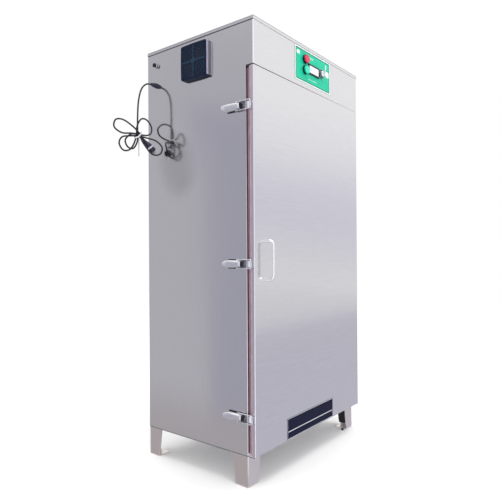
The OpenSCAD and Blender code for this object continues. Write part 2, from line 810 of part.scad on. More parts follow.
module circulation_wheel() color("#9A9CA0") translate([motor_x, motor_y, wheel_plate_z]) {
  translate([0, 0, -wheel_h / 2])
    cylinder(r = shaft_r, h = bay_z + motor_h / 2 - 2 - wheel_plate_z + wheel_h / 2);
  translate([0, 0, -18]) cylinder(r = 14, h = 18);
  translate([0, 0, -1.5]) cylinder(r = wheel_r, h = 1.5);
  translate([0, 0, -wheel_h]) difference() {
    cylinder(r = wheel_r, h = 1.5);
    translate([0, 0, -eps]) cylinder(r = wheel_eye_r, h = 1.5 + 2 * eps);
  }
  translate([0, 0, -wheel_h]) linear_extrude(wheel_h) intersection() {
    for (i = [0:wheel_blades - 1]) rotate([0, 0, i * 360 / wheel_blades]) intersection() {
      translate([wheel_r * 0.72, -20]) difference() {
        circle(32.8);
        circle(31.4);
      }
      square(wheel_r);
    }
    circle(wheel_r - 1);
  }
}

// ---- Hinges ----

hinge_x = side_x + barrel_r;
hinge_y = frame_y - gasket_gap / 2;
knuckle_h = hinge_h / 5;
hinge_zs = [door_z0 + hinge_end, (door_z0 + door_z1) / 2, door_z1 - hinge_end];

// Knuckles k = first, first + 2, ... of a hinge, each joined to its leaf
module knuckles(list, bore, y_leaf) {
  for (k = list) {
    z0 = (k - 2.5) * knuckle_h + (k == 0 ? 0 : side_fit / 2);
    z1 = (k - 1.5) * knuckle_h - (k == 4 ? 0 : side_fit / 2);
    difference() {
      union() {
        translate([0, 0, z0]) cylinder(r = barrel_r, h = z1 - z0);
        block([-barrel_r, min(0, y_leaf), z0], [leaf_t - barrel_r, max(0, y_leaf), z1]);
      }
      translate([0, 0, z0 - eps]) cylinder(r = bore, h = z1 - z0 + 2 * eps);
    }
  }
}

module hinge_body_leaves() color("#9C9CA2") for (z = hinge_zs)
  translate([hinge_x, hinge_y, z]) {
    knuckles([0, 2, 4], pin_r, gasket_gap / 2 + 1);
    block([-barrel_r, gasket_gap / 2, -hinge_h / 2],
          [leaf_t - barrel_r, gasket_gap / 2 + leaf_w, hinge_h / 2]);
  }

module hinge_door_leaves() color("#9C9CA2") for (z = hinge_zs)
  translate([hinge_x, hinge_y, z]) {
    knuckles([1, 3], pin_r + run_fit, -gasket_gap / 2 - 1);
    block([-barrel_r, front_y + door_edge_r + 0.5 - hinge_y, -hinge_h / 2],
          [leaf_t - barrel_r, -gasket_gap / 2, hinge_h / 2]);
  }

module hinge_pins() color("#86868C") for (z = hinge_zs)
  translate([hinge_x, hinge_y, z]) {
    cylinder(r = pin_r, h = hinge_h, center = true);
    for (s = [0, 1]) mirror([0, 0, s]) translate([0, 0, hinge_h / 2])
      cylinder(r = barrel_r - 1.5, h = 2);
  }

// ---- Latches on the left side ----

latch_zs = [latch_top_z, latch_mid_z, latch_low_z];
latch_y = frame_y + latch_in;
ear_in = 8;
ear_t = 1.5;
rivet_r = 2;
lever_t = 2;
lever_top = 7.9;
lever_web_y = 5;
keeper_h = 6;
bail_u = -1.2;
bail_z = lever_w / 2 + bail_r + 0.4;
bar_u = keeper_h - latch_out + 0.35 + bail_r;
bar_y = front_y + 8 - latch_y;

// Frame at a lever's pivot, with local X pointing away from the side panel
module at_latch(z) {
  translate([-side_x - latch_out, latch_y, z]) mirror([1, 0, 0]) children();
}

base_up = 24;
base_down = 19;
base_half = 16;

module latch_bases() color("#A0A0A6") for (z = latch_zs) at_latch(z) {
  block([-latch_out, -base_down, -base_half], [ear_t - latch_out, base_up, base_half]);
  for (s = [0, 1]) mirror([0, 0, s]) translate([0, 0, ear_in]) {
    block([ear_t / 2 - latch_out, -6, 0], [0, 6, ear_t]);
    cylinder(r = 6, h = ear_t);
  }
  cylinder(r = rivet_r, h = lever_w - 0.2, center = true);
}

// Channel-shaped lever with a tapered tip that turns outward
module latch_lever(z) color("#BDBDC2") at_latch(z) difference() {
  union() {
    for (s = [0, 1]) mirror([0, 0, s]) translate([0, 0, lever_w / 2 - lever_t]) {
      cylinder(r = 6, h = lever_t);
      linear_extrude(lever_t) polygon([
        [-5.8, 1], [-5.4, 15], [-2, 0.5 * lever_len], [lever_top - 3, 0.75 * lever_len],
        [lever_top, 0.75 * lever_len], [lever_top, lever_web_y], [5.5, -2]
      ]);
    }
    block([lever_top - ear_t, lever_web_y, -lever_w / 2],
          [lever_top, 0.75 * lever_len, lever_w / 2]);
    intersection() {
      linear_extrude(lever_w, center = true) polygon([
        [lever_top - ear_t, 0.75 * lever_len - 1], [lever_top, 0.75 * lever_len - 1],
        [lever_top + 5, lever_len], [lever_top + 3.4, lever_len]
      ]);
      rotate([0, 90, 0]) linear_extrude(3 * lever_top) polygon([
        [-lever_w / 2, 0.7 * lever_len], [-lever_w / 2, 0.75 * lever_len],
        [-lever_w / 3, lever_len], [lever_w / 3, lever_len],
        [lever_w / 2, 0.75 * lever_len], [lever_w / 2, 0.7 * lever_len]
      ]);
    }
  }
  cylinder(r = rivet_r + run_fit, h = lever_w + 2, center = true);
  translate([bail_u, bail_arm, 0])
    cylinder(r = bail_end_r + run_fit, h = lever_w + 2, center = true);
}
module latch_lever_top() latch_lever(latch_top_z);
module latch_lever_middle() latch_lever(latch_mid_z);
module latch_lever_bottom() latch_lever(latch_low_z);

// Wire bail: two arms, the bar across the keeper and the ends in the lever
bail_bend = 5;
bail_end_r = bail_r + 0.1;

module latch_bail(z) color("#C4C4C8") at_latch(z) translate([bail_u, bail_arm, 0])
  rotate([0, 0, atan2(bar_y - bail_arm, bar_u - bail_u)]) {
    reach = norm([bar_u - bail_u, bar_y - bail_arm]);
    for (s = [0, 1]) mirror([0, 0, s]) {
      translate([0, 0, bail_z]) rotate([0, 90, 0]) cylinder(r = bail_r, h = reach - bail_bend);
      translate([0, 0, ear_in + ear_t + 0.5])
        cylinder(r = bail_end_r, h = bail_z + bail_r - ear_in - ear_t - 0.4);
      translate([reach - bail_bend, 0, bail_z - bail_bend]) rotate([90, 0, 0])
        rotate_extrude(angle = 90) translate([bail_bend, 0]) circle(bail_r);
    }
    translate([reach, 0, 0])
      cylinder(r = bail_r, h = 2 * (bail_z - bail_bend), center = true);
  }
module latch_bail_top() latch_bail(latch_top_z);
module latch_bail_middle() latch_bail(latch_mid_z);
module latch_bail_bottom() latch_bail(latch_low_z);

// Hooks on the door's edge, open to the front
module latch_keepers() color("#A0A0A6") for (z = latch_zs)
  translate([-side_x, front_y, z]) mirror([1, 0, 0])
    linear_extrude(20, center = true) polygon([
      [0, 3.5], [1, 3.5], [1, 11.5], [keeper_h - 1, 11.5], [keeper_h - 1, 6],
      [keeper_h, 6], [keeper_h, 13], [1, 13], [1, 15], [0, 15]
    ]);

// ---- Fasteners on the cabinet ----

// Pan head with a cross recess, lying on the plane z = 0
module pan_head(r) {
  difference() {
    cylinder(r1 = r, r2 = r - 0.5, h = 1.2);
    for (a = [0, 90]) rotate([0, 0, a]) translate([0, 0, 1.2])
      cube([1.2 * r, 0.7, 1], center = true);
  }
}

module cabinet_screws() color("#8E8E94") {
  at_left(-fan_fwd, fan_z) for (x = [-1, 1], y = [-1, 1])
    translate([x, y, 0] * fan_screw_cc / 2) {
      translate([0, 0, guard_t]) pan_head(3.6);
      translate([0, 0, -sheet - fan_d]) cylinder(r = screw_r, h = sheet + fan_d + guard_t + eps);
    }
  for (z = hinge_zs, h = [-1, 1], y = [9, 21])
    translate([side_x + leaf_t, frame_y + y, z + h * hinge_h / 3]) rotate([0, 90, 0])
      pan_head(3.4);
  for (z = latch_zs, y = [-15, 20]) at_latch(z)
    translate([ear_t - latch_out, y, 0]) rotate([0, 90, 0]) pan_head(2.6);
  for (mx = [0, 1], my = [0, 1]) mirror([mx, 0, 0]) mirror([0, my, 0])
    for (p = [[22, 48], [48, 22]])
      translate([side_x - p[0], back_y - p[1], leg_h - leg_t - 4])
        cylinder(r = 6, h = 4, $fn = 6);
}

// ---- Door ----

module door_skin() color("#B4B4BA") difference() {
  translate([0, 0, door_z0]) linear_extrude(door_z1 - door_z0) {
    translate([-side_x, front_y + door_edge_r]) square([cabinet_w, skin_d - door_edge_r]);
    translate([door_edge_r - side_x, front_y])
      square([cabinet_w - 2 * door_edge_r, skin_d]);
    for (s = [-1, 1]) translate([s * (side_x - door_edge_r), front_y + door_edge_r])
      circle(door_edge_r);
  }
  block([sheet - side_x, front_y + sheet, door_z0 + sheet],
        [side_x - sheet, seam_y - sheet, door_z1 - sheet]);
  block([18 - side_x, front_y + skin_d / 2, door_z0 + 18],
        [side_x - 18, seam_y + eps, door_z1 - 18]);
}

pan_x = side_x - tray_step;
raised_x = room_x - 12;
raised_z0 = room_floor + 12;
raised_z1 = room_ceiling - 12;

module door_liner() color("#BCBCC0") difference() {
  union() {
    block([-pan_x, seam_y, door_z0 + tray_step], [pan_x, door_back, door_z1 - tray_step]);
    block([-raised_x, seam_y, raised_z0], [raised_x, door_back + raised_d, raised_z1]);
  }
  block([sheet - pan_x, seam_y - eps, door_z0 + tray_step + sheet],
        [pan_x - sheet, door_back - sheet, door_z1 - tray_step - sheet]);
  block([sheet - raised_x, seam_y, raised_z0 + sheet],
        [raised_x - sheet, door_back + raised_d - sheet, raised_z1 - sheet]);
}

module door_insulation() color("#E8DCA8") {
  block([sheet - side_x, front_y + sheet, door_z0 + sheet],
        [side_x - sheet, seam_y - sheet, door_z1 - sheet]);
  block([18 - side_x, front_y + skin_d / 2, door_z0 + 18],
        [side_x - 18, seam_y, door_z1 - 18]);
  block([sheet - pan_x, seam_y, door_z0 + tray_step + sheet],
        [pan_x - sheet, door_back - sheet, door_z1 - tray_step - sheet]);
  block([sheet - raised_x, seam_y, raised_z0 + sheet],
        [raised_x - sheet, door_back + raised_d - sheet, raised_z1 - sheet]);
}

// Hollow-backed gasket with two soft lips
lip_r = 3.3;

module door_gasket() color("#7A4450")
  translate([0, door_back, (door_z0 + door_z1) / 2]) rotate([-90, 0, 0])
    ring_of(cabinet_w - 2 * gasket_in, door_z1 - door_z0 - 2 * gasket_in, 16)
      translate([-gasket_w, 0]) {
        square([gasket_w, 4]);
        for (x = [lip_r, gasket_w - lip_r]) {
          translate([x, gasket_gap - soft_fit - lip_r]) circle(lip_r);
          translate([x - 1.8, 0]) square([3.6, gasket_gap - soft_fit - lip_r]);
        }
      }

// Bar handle with round bends at both feet
handle_bend = 16;

module door_handle() color("#C0C0C6") at_front(handle_in - side_x, handle_z) {
  for (s = [0, 1]) mirror([0, s, 0]) {
    translate([0, handle_cc / 2, 0]) cylinder(r = handle_r, h = handle_reach - handle_bend);
    translate([0, handle_cc / 2 - handle_bend, handle_reach - handle_bend])
      rotate([90, 0, 90]) rotate_extrude(angle = 90) translate([handle_bend, 0])
        circle(handle_r);
  }
  translate([0, handle_cc / 2 - handle_bend, handle_reach]) rotate([90, 0, 0])
    cylinder(r = handle_r, h = handle_cc - 2 * handle_bend);
}

module door_screws() color("#8E8E94")
  for (z = hinge_zs, h = [-1, 0, 1])
    translate([side_x + leaf_t, front_y + 9, z + h * hinge_h / 3]) rotate([0, 90, 0])
      pan_head(2.8);

// ---- Nodes ----

left_side_panel();
right_side_panel();
back_panel();
roof_cover();
bottom_panel();
fascia_panel();
front_frame();
machine_deck();
liner_sides();
liner_back();
liner_ceiling();
liner_floor();
insulation();
legs();
fan_guard();
fan_filter();
fan_housing();
fan_rotor();
control_plate();
button_bezels();
red_button();
green_button();
display_bezel();
display_window();
selector_bezel();
selector_knob();
control_module();
fuse_holder();
cord_gland();
power_cord();
cable_tie();
power_plug();
upper_shelf();
middle_shelf();
lower_shelf();
shelf_rails();
heater_elements();
heater_cover();
air_baffle();
temperature_probe();
circulation_motor();
circulation_wheel();
hinge_body_leaves();
hinge_door_leaves();
hinge_pins();
latch_bases();
latch_lever_top();
latch_lever_middle();
latch_lever_bottom();
latch_bail_top();
latch_bail_middle();
latch_bail_bottom();
latch_keepers();
cabinet_screws();
door_skin();
door_liner();
door_insulation();
door_gasket();
door_handle();
door_screws();
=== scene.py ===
"""Tall hot air cabinet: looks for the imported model, laid out as an add-on."""

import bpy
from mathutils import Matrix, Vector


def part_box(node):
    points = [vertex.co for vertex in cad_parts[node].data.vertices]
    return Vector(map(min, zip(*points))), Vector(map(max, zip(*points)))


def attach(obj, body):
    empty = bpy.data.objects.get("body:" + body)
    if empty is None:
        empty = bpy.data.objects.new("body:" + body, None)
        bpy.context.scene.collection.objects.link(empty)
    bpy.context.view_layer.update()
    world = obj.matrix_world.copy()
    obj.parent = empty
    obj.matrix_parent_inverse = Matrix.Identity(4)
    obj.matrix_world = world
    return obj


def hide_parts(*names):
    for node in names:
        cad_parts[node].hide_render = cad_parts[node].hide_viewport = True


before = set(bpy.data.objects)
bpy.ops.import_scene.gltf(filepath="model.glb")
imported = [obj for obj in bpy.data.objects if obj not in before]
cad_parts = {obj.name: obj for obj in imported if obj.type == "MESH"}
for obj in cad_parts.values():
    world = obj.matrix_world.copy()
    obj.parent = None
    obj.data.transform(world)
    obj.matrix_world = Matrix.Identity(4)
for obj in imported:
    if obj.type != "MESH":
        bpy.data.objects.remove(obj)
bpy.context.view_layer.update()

import math

import bmesh
import bpy
import numpy as np
from bpy.props import FloatProperty, FloatVectorProperty, IntProperty, PointerProperty
from mathutils import Matrix

bl_info = {
    "name": "Hot air cabinet",
    "version": (1, 0, 0),
    "blender": (4, 5, 0),
    "location": "View3D > Sidebar > Cabinet",
    "description": "Dresses a stainless hot air cabinet with its finishes, cord, prints and studio",
    "category": "Object",
}

MM = 0.001

# Thickness of the casing's sheet and radius of its folds, in metres
SHEET, FOLD = 0.0012, 0.003

# Planes of the cabinet, in metres: its sides, the door's face, the frame behind the door, the casing's
# lower edge, the door's two ends, the fascia's lower edge and the roof's rim
SIDE_X = 0.360
FRONT_Y, FRAME_Y = -0.265, -0.235
BASE_Z, DOOR_LOW_Z, DOOR_TOP_Z, BAY_Z, RIM_Z = 0.100, 0.104, 1.345, 1.349, 1.490
PLATE_FACE_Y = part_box("control_plate")[0][1]
GUARD_FACE_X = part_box("fan_guard")[0][0]

# Centres of the fittings
GUARD_Y, GUARD_Z = -0.018, 1.410
FUSE_Y, FUSE_Z = 0.189, 1.444
KNOB_X, KNOB_Z = 0.062, 1.4275
LATCH_Z = {"top": 1.220, "middle": 0.713, "bottom": 0.221}
LEVER_X, LEVER_Y = -0.369, -0.211
DOOR_PLATE_X, DOOR_PLATE_Z = -0.0215, 0.1425


# ---- Small helpers ----

def linear(code, alpha=True):
    """An sRGB hex colour as linear numbers."""
    parts = [int(code[i:i + 2], 16) / 255 for i in (1, 3, 5)]
    out = [c / 12.92 if c <= 0.04045 else ((c + 0.055) / 1.055) ** 2.4 for c in parts]
    return tuple(out + [1.0]) if alpha else tuple(out)


def add(tree, kind, inputs=None, **settings):
    """Adds one shader node with its settings, its values and its links. A node given as a value links
    its first output; stops is the list of (position, colour) on a colour ramp."""
    made = tree.nodes.new("ShaderNode" + kind)
    stops = settings.pop("stops", [])
    for _ in stops[2:]:
        made.color_ramp.elements.new(0.5)
    for i, (position, colour) in enumerate(stops):
        made.color_ramp.elements[i].position = position
        made.color_ramp.elements[i].color = colour
    for name, value in settings.items():
        setattr(made, name, value)
    for key, value in (inputs or {}).items():
        if isinstance(value, bpy.types.Node):
            value = value.outputs[0]
        if isinstance(value, bpy.types.NodeSocket):
            tree.links.new(value, made.inputs[key])
        else:
            made.inputs[key].default_value = value
    return made


def blank(name):
    """A fresh material with an empty tree, and Object coordinates."""
    made = bpy.data.materials.new(name)
    made.use_nodes = True
    tree = made.node_tree
    tree.nodes.clear()
    return made, tree, add(tree, "TexCoord").outputs["Object"]


def surfaced(made, tree, inputs):
    """Ends a material in one Principled shader with these inputs."""
    add(tree, "OutputMaterial", {"Surface": add(tree, "BsdfPrincipled", inputs)})
    return made


def shade(colour, k):
    """The colour times k, alpha kept."""
    return tuple(c * k for c in colour[:3]) + (1.0,)


def paint(material, *names):
    """Gives CAD nodes a material through their slots."""
    for name in names:
        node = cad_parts[name]
        if not node.material_slots:
            node.data.materials.append(material)
        for slot in node.material_slots:
            slot.material = material


# ---- Finishes ----

def brushed_steel(name, colour, roughness, grain, spread=0.05, wave=0.0, cord_shade_points=None):
    """Stainless steel, AISI 304, dull brushed: fine parallel scratches along the sheet.
    Real scratches are 0.05 mm apart; they are drawn 1 to 3 mm apart, which is as coarse as shows."""
    made, tree, place = blank(name)
    lines = add(tree, "Mapping", {"Vector": place, "Scale": grain})
    fine = add(tree, "TexNoise", {"Vector": lines, "Scale": 1.0, "Detail": 3.0, "Roughness": 0.7})
    broad = add(tree, "TexNoise", {"Vector": place, "Scale": 3.1, "Detail": 2.0})
    tint = add(tree, "ValToRGB", {"Fac": fine},
               stops=[(0.25, shade(colour, 1 - spread)), (0.75, shade(colour, 1 + spread))])
    if cord_shade_points:
        # painted shade: a long soft darkening about two points under the hanging cord and plug, standing in
        # for their shadow and dark reflection on the sheet
        far = [add(tree, "VectorMath", {0: place, 1: point}, operation="DISTANCE").outputs["Value"]
               for point in cord_shade_points]
        both = add(tree, "Math", {0: far[0], 1: far[1]}, operation="ADD")
        cord_shade_reach = add(tree, "Math", {0: broad, 1: 0.09, 2: both}, operation="MULTIPLY_ADD")
        cord_shade_mask = add(tree, "MapRange", {"Value": cord_shade_reach, "From Min": 0.170, "From Max": 0.320, "To Min": 0.66},
                    interpolation_type="SMOOTHSTEP")
        tint = add(tree, "Mix", {0: cord_shade_mask, 6: shade(colour, 0.42), 7: tint}, data_type="RGBA").outputs[2]
    rough = add(tree, "MapRange", {"Value": broad, "To Min": roughness * 0.85, "To Max": roughness * 1.15})
    dents = add(tree, "Bump", {"Height": fine, "Strength": 0.12, "Distance": 0.05 * MM})
    if wave:
        # sheet 1.2 mm thick is never dead flat: slow dents 200 to 400 mm across
        slow = add(tree, "TexNoise", {"Vector": place, "Scale": 2.6, "Detail": 1.0})
        dents = add(tree, "Bump", {"Height": slow, "Strength": 1.0, "Distance": wave * MM, "Normal": dents})
    return surfaced(made, tree, {"Base Color": tint, "Roughness": rough, "Metallic": 1.0, "Normal": dents})


def bright_metal(name, colour, roughness, spread=0.08):
    """Nickel-plated or polished pressings: cast light and dark by the room, with faint handling marks
    8 mm across."""
    made, tree, place = blank(name)
    marks = add(tree, "TexNoise", {"Vector": place, "Scale": 120.0, "Detail": 3.0})
    tint = add(tree, "ValToRGB", {"Fac": marks}, stops=[(0.3, shade(colour, 1 - spread)), (0.7, colour)])
    rough = add(tree, "MapRange", {"Value": marks, "To Min": roughness * 0.7, "To Max": roughness * 1.4})
    return surfaced(made, tree, {"Base Color": tint, "Roughness": rough, "Metallic": 1.0})


def plastic(name, colour, roughness, grit=900.0, bump=0.03, spread=0.12, ior=1.46):
    """Moulded ABS or polyamide: one colour right through, with the fine grain of the mould."""
    made, tree, place = blank(name)
    grain = add(tree, "TexNoise", {"Vector": place, "Scale": grit, "Detail": 2.0})
    cloud = add(tree, "TexNoise", {"Vector": place, "Scale": 40.0, "Detail": 2.0})
    tint = add(tree, "ValToRGB", {"Fac": cloud},
               stops=[(0.3, shade(colour, 1 - spread)), (0.7, shade(colour, 1 + spread))])
    rough = add(tree, "MapRange", {"Value": grain, "To Min": roughness * 0.8, "To Max": roughness * 1.2})
    dents = add(tree, "Bump", {"Height": grain, "Strength": 0.4, "Distance": bump * MM})
    return surfaced(made, tree, {"Base Color": tint, "Roughness": rough, "IOR": ior, "Normal": dents})


def matted(name, colour, scale, depth):
    """Felted or foamed fibre: open, dull, with pores that swallow light."""
    made, tree, place = blank(name)
    fibre = add(tree, "TexNoise", {"Vector": place, "Scale": scale, "Detail": 5.0, "Roughness": 0.7})
    tint = add(tree, "ValToRGB", {"Fac": fibre},
               stops=[(0.3, shade(colour, 0.55)), (0.7, shade(colour, 1.15))])
    dents = add(tree, "Bump", {"Height": fibre, "Strength": 0.8, "Distance": depth * MM})
    return surfaced(made, tree, {"Base Color": tint, "Roughness": 0.9, "Normal": dents})


# ---- Meshes ----

def grid_faces(rows, columns, around):
    """Quads of a rows x columns grid; around closes each row on itself."""
    wide = columns if around else columns - 1
    r, c = np.meshgrid(np.arange(rows - 1), np.arange(wide), indexing="ij")
    r, c = r.ravel(), c.ravel()
    n = (c + 1) % columns
    return np.stack([r * columns + c, r * columns + n, (r + 1) * columns + n, (r + 1) * columns + c], 1)


def capped(rows, n):
    """Faces of rows of n points closed round, with the first and the last row filled."""
    last = (rows - 1) * n
    return grid_faces(rows, n, True).tolist() + [list(range(n))[::-1], list(range(last, last + n))]


def unit(v):
    """The vector at length 1."""
    return v / np.linalg.norm(v)


def stand(name, data):
    """Puts a mesh, a lamp or a camera in the scene, as an object at the origin."""
    made = bpy.data.objects.new(name, data)
    bpy.context.scene.collection.objects.link(made)
    return made


def piece(name, surfaces, material, body, smooth=True, sharp=35.0):
    """One mesh from (points, faces) surfaces, its doubled points merged and its faces turned outwards,
    smooth but for edges sharper than the given angle."""
    points, faces, offset = [], [], 0
    for p, f in surfaces:
        points.append(p.reshape(-1, 3))
        faces += [[i + offset for i in face] for face in f]
        offset += len(points[-1])
    mesh = bpy.data.meshes.new(name)
    mesh.from_pydata(np.concatenate(points).tolist(), [], faces)
    work = bmesh.new()
    work.from_mesh(mesh)
    bmesh.ops.remove_doubles(work, verts=work.verts, dist=1e-7)
    bmesh.ops.recalc_face_normals(work, faces=work.faces)
    work.to_mesh(mesh)
    work.free()
    mesh.materials.append(material)
    if smooth:
        mesh.shade_smooth()
        mesh.set_sharp_from_angle(angle=math.radians(sharp))
    mesh.validate()
    made = stand(name, mesh)
    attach(made, body)
    return made


def eased(name, node, width, material, body, parts=3, move=None):
    """A copy of a node whose folded or cut edges are rounded by a bevel of the given width.
    move takes all points at once and gives them back moved."""
    mesh = bpy.data.meshes.new(name)
    work = bmesh.new()
    work.from_mesh(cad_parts[node].data)
    bmesh.ops.remove_doubles(work, verts=work.verts, dist=1e-6)
    bmesh.ops.dissolve_limit(work, angle_limit=math.radians(0.5), verts=work.verts, edges=work.edges)
    work.to_mesh(mesh)
    work.free()
    if move:
        points = np.empty(len(mesh.vertices) * 3)
        mesh.vertices.foreach_get("co", points)
        mesh.vertices.foreach_set("co", move(points.reshape(-1, 3)).ravel())
        mesh.update()
    mesh.materials.clear()
    mesh.materials.append(material)
    made = stand(name, mesh)
    round_off = made.modifiers.new("eased edges", "BEVEL")
    round_off.width, round_off.segments = width, parts
    round_off.limit_method, round_off.angle_limit = "ANGLE", math.radians(40)
    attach(made, body)
    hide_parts(node)
    return made


def tube(path, radius, sides=16):
    """A circle of the radius carried along a path, square to it, with flat ends.
    Point = path + radius * (side cos a + up sin a), where side is carried from ring to ring without twist."""
    step = np.gradient(path, axis=0)
    ahead = step / np.linalg.norm(step, axis=1, keepdims=True)
    side = np.zeros_like(path)
    v = np.array([0.0, 1.0, 0.0])
    for i, d in enumerate(ahead):
        v = unit(v - (v @ d) * d)
        side[i] = v
    up = np.cross(ahead, side)
    a = np.linspace(0, 2 * math.pi, sides, endpoint=False)
    r = np.broadcast_to(radius, (len(path),))[:, None, None]
    cos, sin = np.cos(a)[None, :, None], np.sin(a)[None, :, None]
    return path[:, None] + r * (side[:, None] * cos + up[:, None] * sin), capped(len(path), sides)


def smooth_line(stations, steps):
    """Catmull-Rom curve: the cubic through each pair of stations whose slope there
    is half the step between the stations on either side."""
    p = np.vstack([2 * stations[0] - stations[1], stations, 2 * stations[-1] - stations[-2]])
    a, b, c, d = (p[i:len(p) - 3 + i, None] for i in range(4))
    t = (np.arange(steps) / steps)[None, :, None]
    line = (2 * b + (c - a) * t + (2 * a - 5 * b + 4 * c - d) * t ** 2 + (3 * b - a - 3 * c + d) * t ** 3) / 2
    return np.vstack([line.reshape(-1, 3), stations[-1]])


def slab(outline, low, high, place):
    """A flat outline (n x 2) given a thickness: walls between two copies, and both faces filled.
    place turns (u, v, w) columns into frame points."""
    sheet = [place(outline[:, 0], outline[:, 1], np.full(len(outline), w)) for w in (low, high)]
    return np.concatenate(sheet), capped(2, len(outline))


def rounded(w, h, r, steps=6):
    """Rectangle w x h with corner arcs of radius r, counter-clockwise: corner + r (cos a, sin a)."""
    a = np.linspace(0, math.pi / 2, steps)[None, :] + (np.arange(4) * math.pi / 2)[:, None]
    cx = np.array([1, -1, -1, 1])[:, None] * (w / 2 - r)
    cy = np.array([1, 1, -1, -1])[:, None] * (h / 2 - r)
    return np.stack([(cx + r * np.cos(a)).ravel(), (cy + r * np.sin(a)).ravel()], 1)


def oblong(u0, v0, u1, v1):
    """A rectangle between two opposite corners."""
    return np.array([[u0, v0], [u1, v0], [u1, v1], [u0, v1]])


def spun(outline, angle):
    """A flat outline turned about its origin: (x cos a - y sin a, x sin a + y cos a)."""
    return outline @ np.array([[math.cos(angle), math.sin(angle)], [-math.sin(angle), math.cos(angle)]])


def looped(loops, place):
    """Walls from each (outline, depth) to the next and from the last back to the first;
    the outlines have one count of points."""
    n, rows = len(loops[0][0]), len(loops)
    points = np.concatenate([place(o[:, 0], o[:, 1], np.full(n, w)) for o, w in loops])
    return points, (grid_faces(rows + 1, n, True) % (n * rows)).tolist()


def ring_slab(outer, inner, low, high, place):
    """A flat ring between two outlines of the same count: outer wall, top, inner wall and bottom."""
    return looped([(outer, low), (outer, high), (inner, high), (inner, low)], place)


def swept_ring(w, h, r, profile, place, steps=8):
    """A closed profile of (inset, depth) points carried round a rounded rectangle:
    point = outline of (w - 2 inset) x (h - 2 inset) with corners r - inset, at that depth."""
    return looped([(rounded(w - 2 * inset, h - 2 * inset, max(r - inset, 0.0005), steps), depth)
                   for inset, depth in profile], place)


def lathe(profile, place, sides=48):
    """(radius, height) points turned round the axis: radius (cos a, sin a), height; both ends closed."""
    line = np.array(profile, float)
    a = np.linspace(0, 2 * math.pi, sides, endpoint=False)
    u, v = (line[:, :1] * np.cos(a)).ravel(), (line[:, :1] * np.sin(a)).ravel()
    return place(u, v, np.repeat(line[:, 1], sides)), capped(len(line), sides)


def lying(u, v, w):
    """Takes an outline drawn in X and Y, with its thickness along Z."""
    return np.stack([u, v, w], 1)


def upright(u, v, w):
    """Takes an outline drawn in X and Z, with its thickness along Y."""
    return np.stack([u, w, v], 1)


def on_front(x, z, y):
    """Places (u right, v up, w towards the viewer) at x, z on the plane y."""
    return lambda u, v, w: np.stack([x + u, y - w, z + v], 1)


def on_left(y, z, x):
    """Places (u forward, v up, w out of the left side) at y, z on the plane x."""
    return lambda u, v, w: np.stack([x - w, y - u, z + v], 1)


# ---- Sizes and colours that a user would change ----

class CabinetSizes(bpy.types.PropertyGroup):
    """Sizes of the cord and of the door's plate"""
    cord_diameter: FloatProperty(name="Cord diameter", description="Outside diameter of the mains cord",
                                 default=0.0058, min=0.004, max=0.009, unit="LENGTH")
    cord_sides: IntProperty(name="Cord sides", description="Facets round the cord", default=16, min=8, max=32)
    plate_w: FloatProperty(name="Door plate width", description="Width of the plain plate on the door",
                           default=0.319, min=0.2, max=0.4, unit="LENGTH")
    plate_h: FloatProperty(name="Door plate height", description="Height of the plain plate on the door",
                           default=0.072, min=0.04, max=0.1, unit="LENGTH")


class CabinetColours(bpy.types.PropertyGroup):
    """Colours of the steel, the control film, the door's plate and the fan's guard"""
    steel: FloatVectorProperty(name="Steel", description="Colour of the brushed stainless casing",
                               subtype="COLOR", size=3, min=0, max=1, default=linear("#DEDDDF", False))
    film: FloatVectorProperty(name="Control film", description="Colour of the control plate's film",
                              subtype="COLOR", size=3, min=0, max=1, default=linear("#10C9A0", False))
    plate: FloatVectorProperty(name="Door plate", description="Colour of the plain plate on the door",
                               subtype="COLOR", size=3, min=0, max=1, default=linear("#171A34", False))
    guard: FloatVectorProperty(name="Fan guard", description="Colour of the fan's moulded guard",
                               subtype="COLOR", size=3, min=0, max=1, default=linear("#101D34", False))


def four(colour):
    """A property's colour with an alpha of 1."""
    return (*colour, 1.0)


# ---- Power cord, hung on the left side in a tied bundle ----

CORD_STATIONS_MM = [
    (-384, 189, 1370), (-410, 189, 1363), (-430, 191, 1340), (-440, 195, 1295), (-442, 198, 1230),
    (-442, 198, 1172), (-444, 200, 1146), (-459, 203, 1124), (-481, 205, 1127), (-492, 204, 1149),
    (-475, 195, 1171), (-445, 191, 1175), (-410, 190, 1177), (-382, 197, 1190), (-376, 200, 1215),
    (-400, 197, 1236), (-432, 190, 1232), (-447, 194, 1205), (-448, 198, 1172), (-452, 207, 1142),
    (-468, 212, 1119), (-493, 215, 1115), (-510, 215, 1136), (-498, 214, 1160), (-470, 202, 1167),
    (-445, 191, 1169), (-413, 185, 1167), (-384, 166, 1158), (-371, 148, 1134), (-384, 146, 1107),
    (-412, 156, 1105), (-434, 173, 1139), (-448, 184, 1170), (-475, 187, 1173), (-507, 204, 1172),
    (-530, 216, 1190), (-523, 216, 1217), (-497, 206, 1219), (-466, 189, 1196), (-443, 184, 1175),
    (-432, 184, 1162),
]


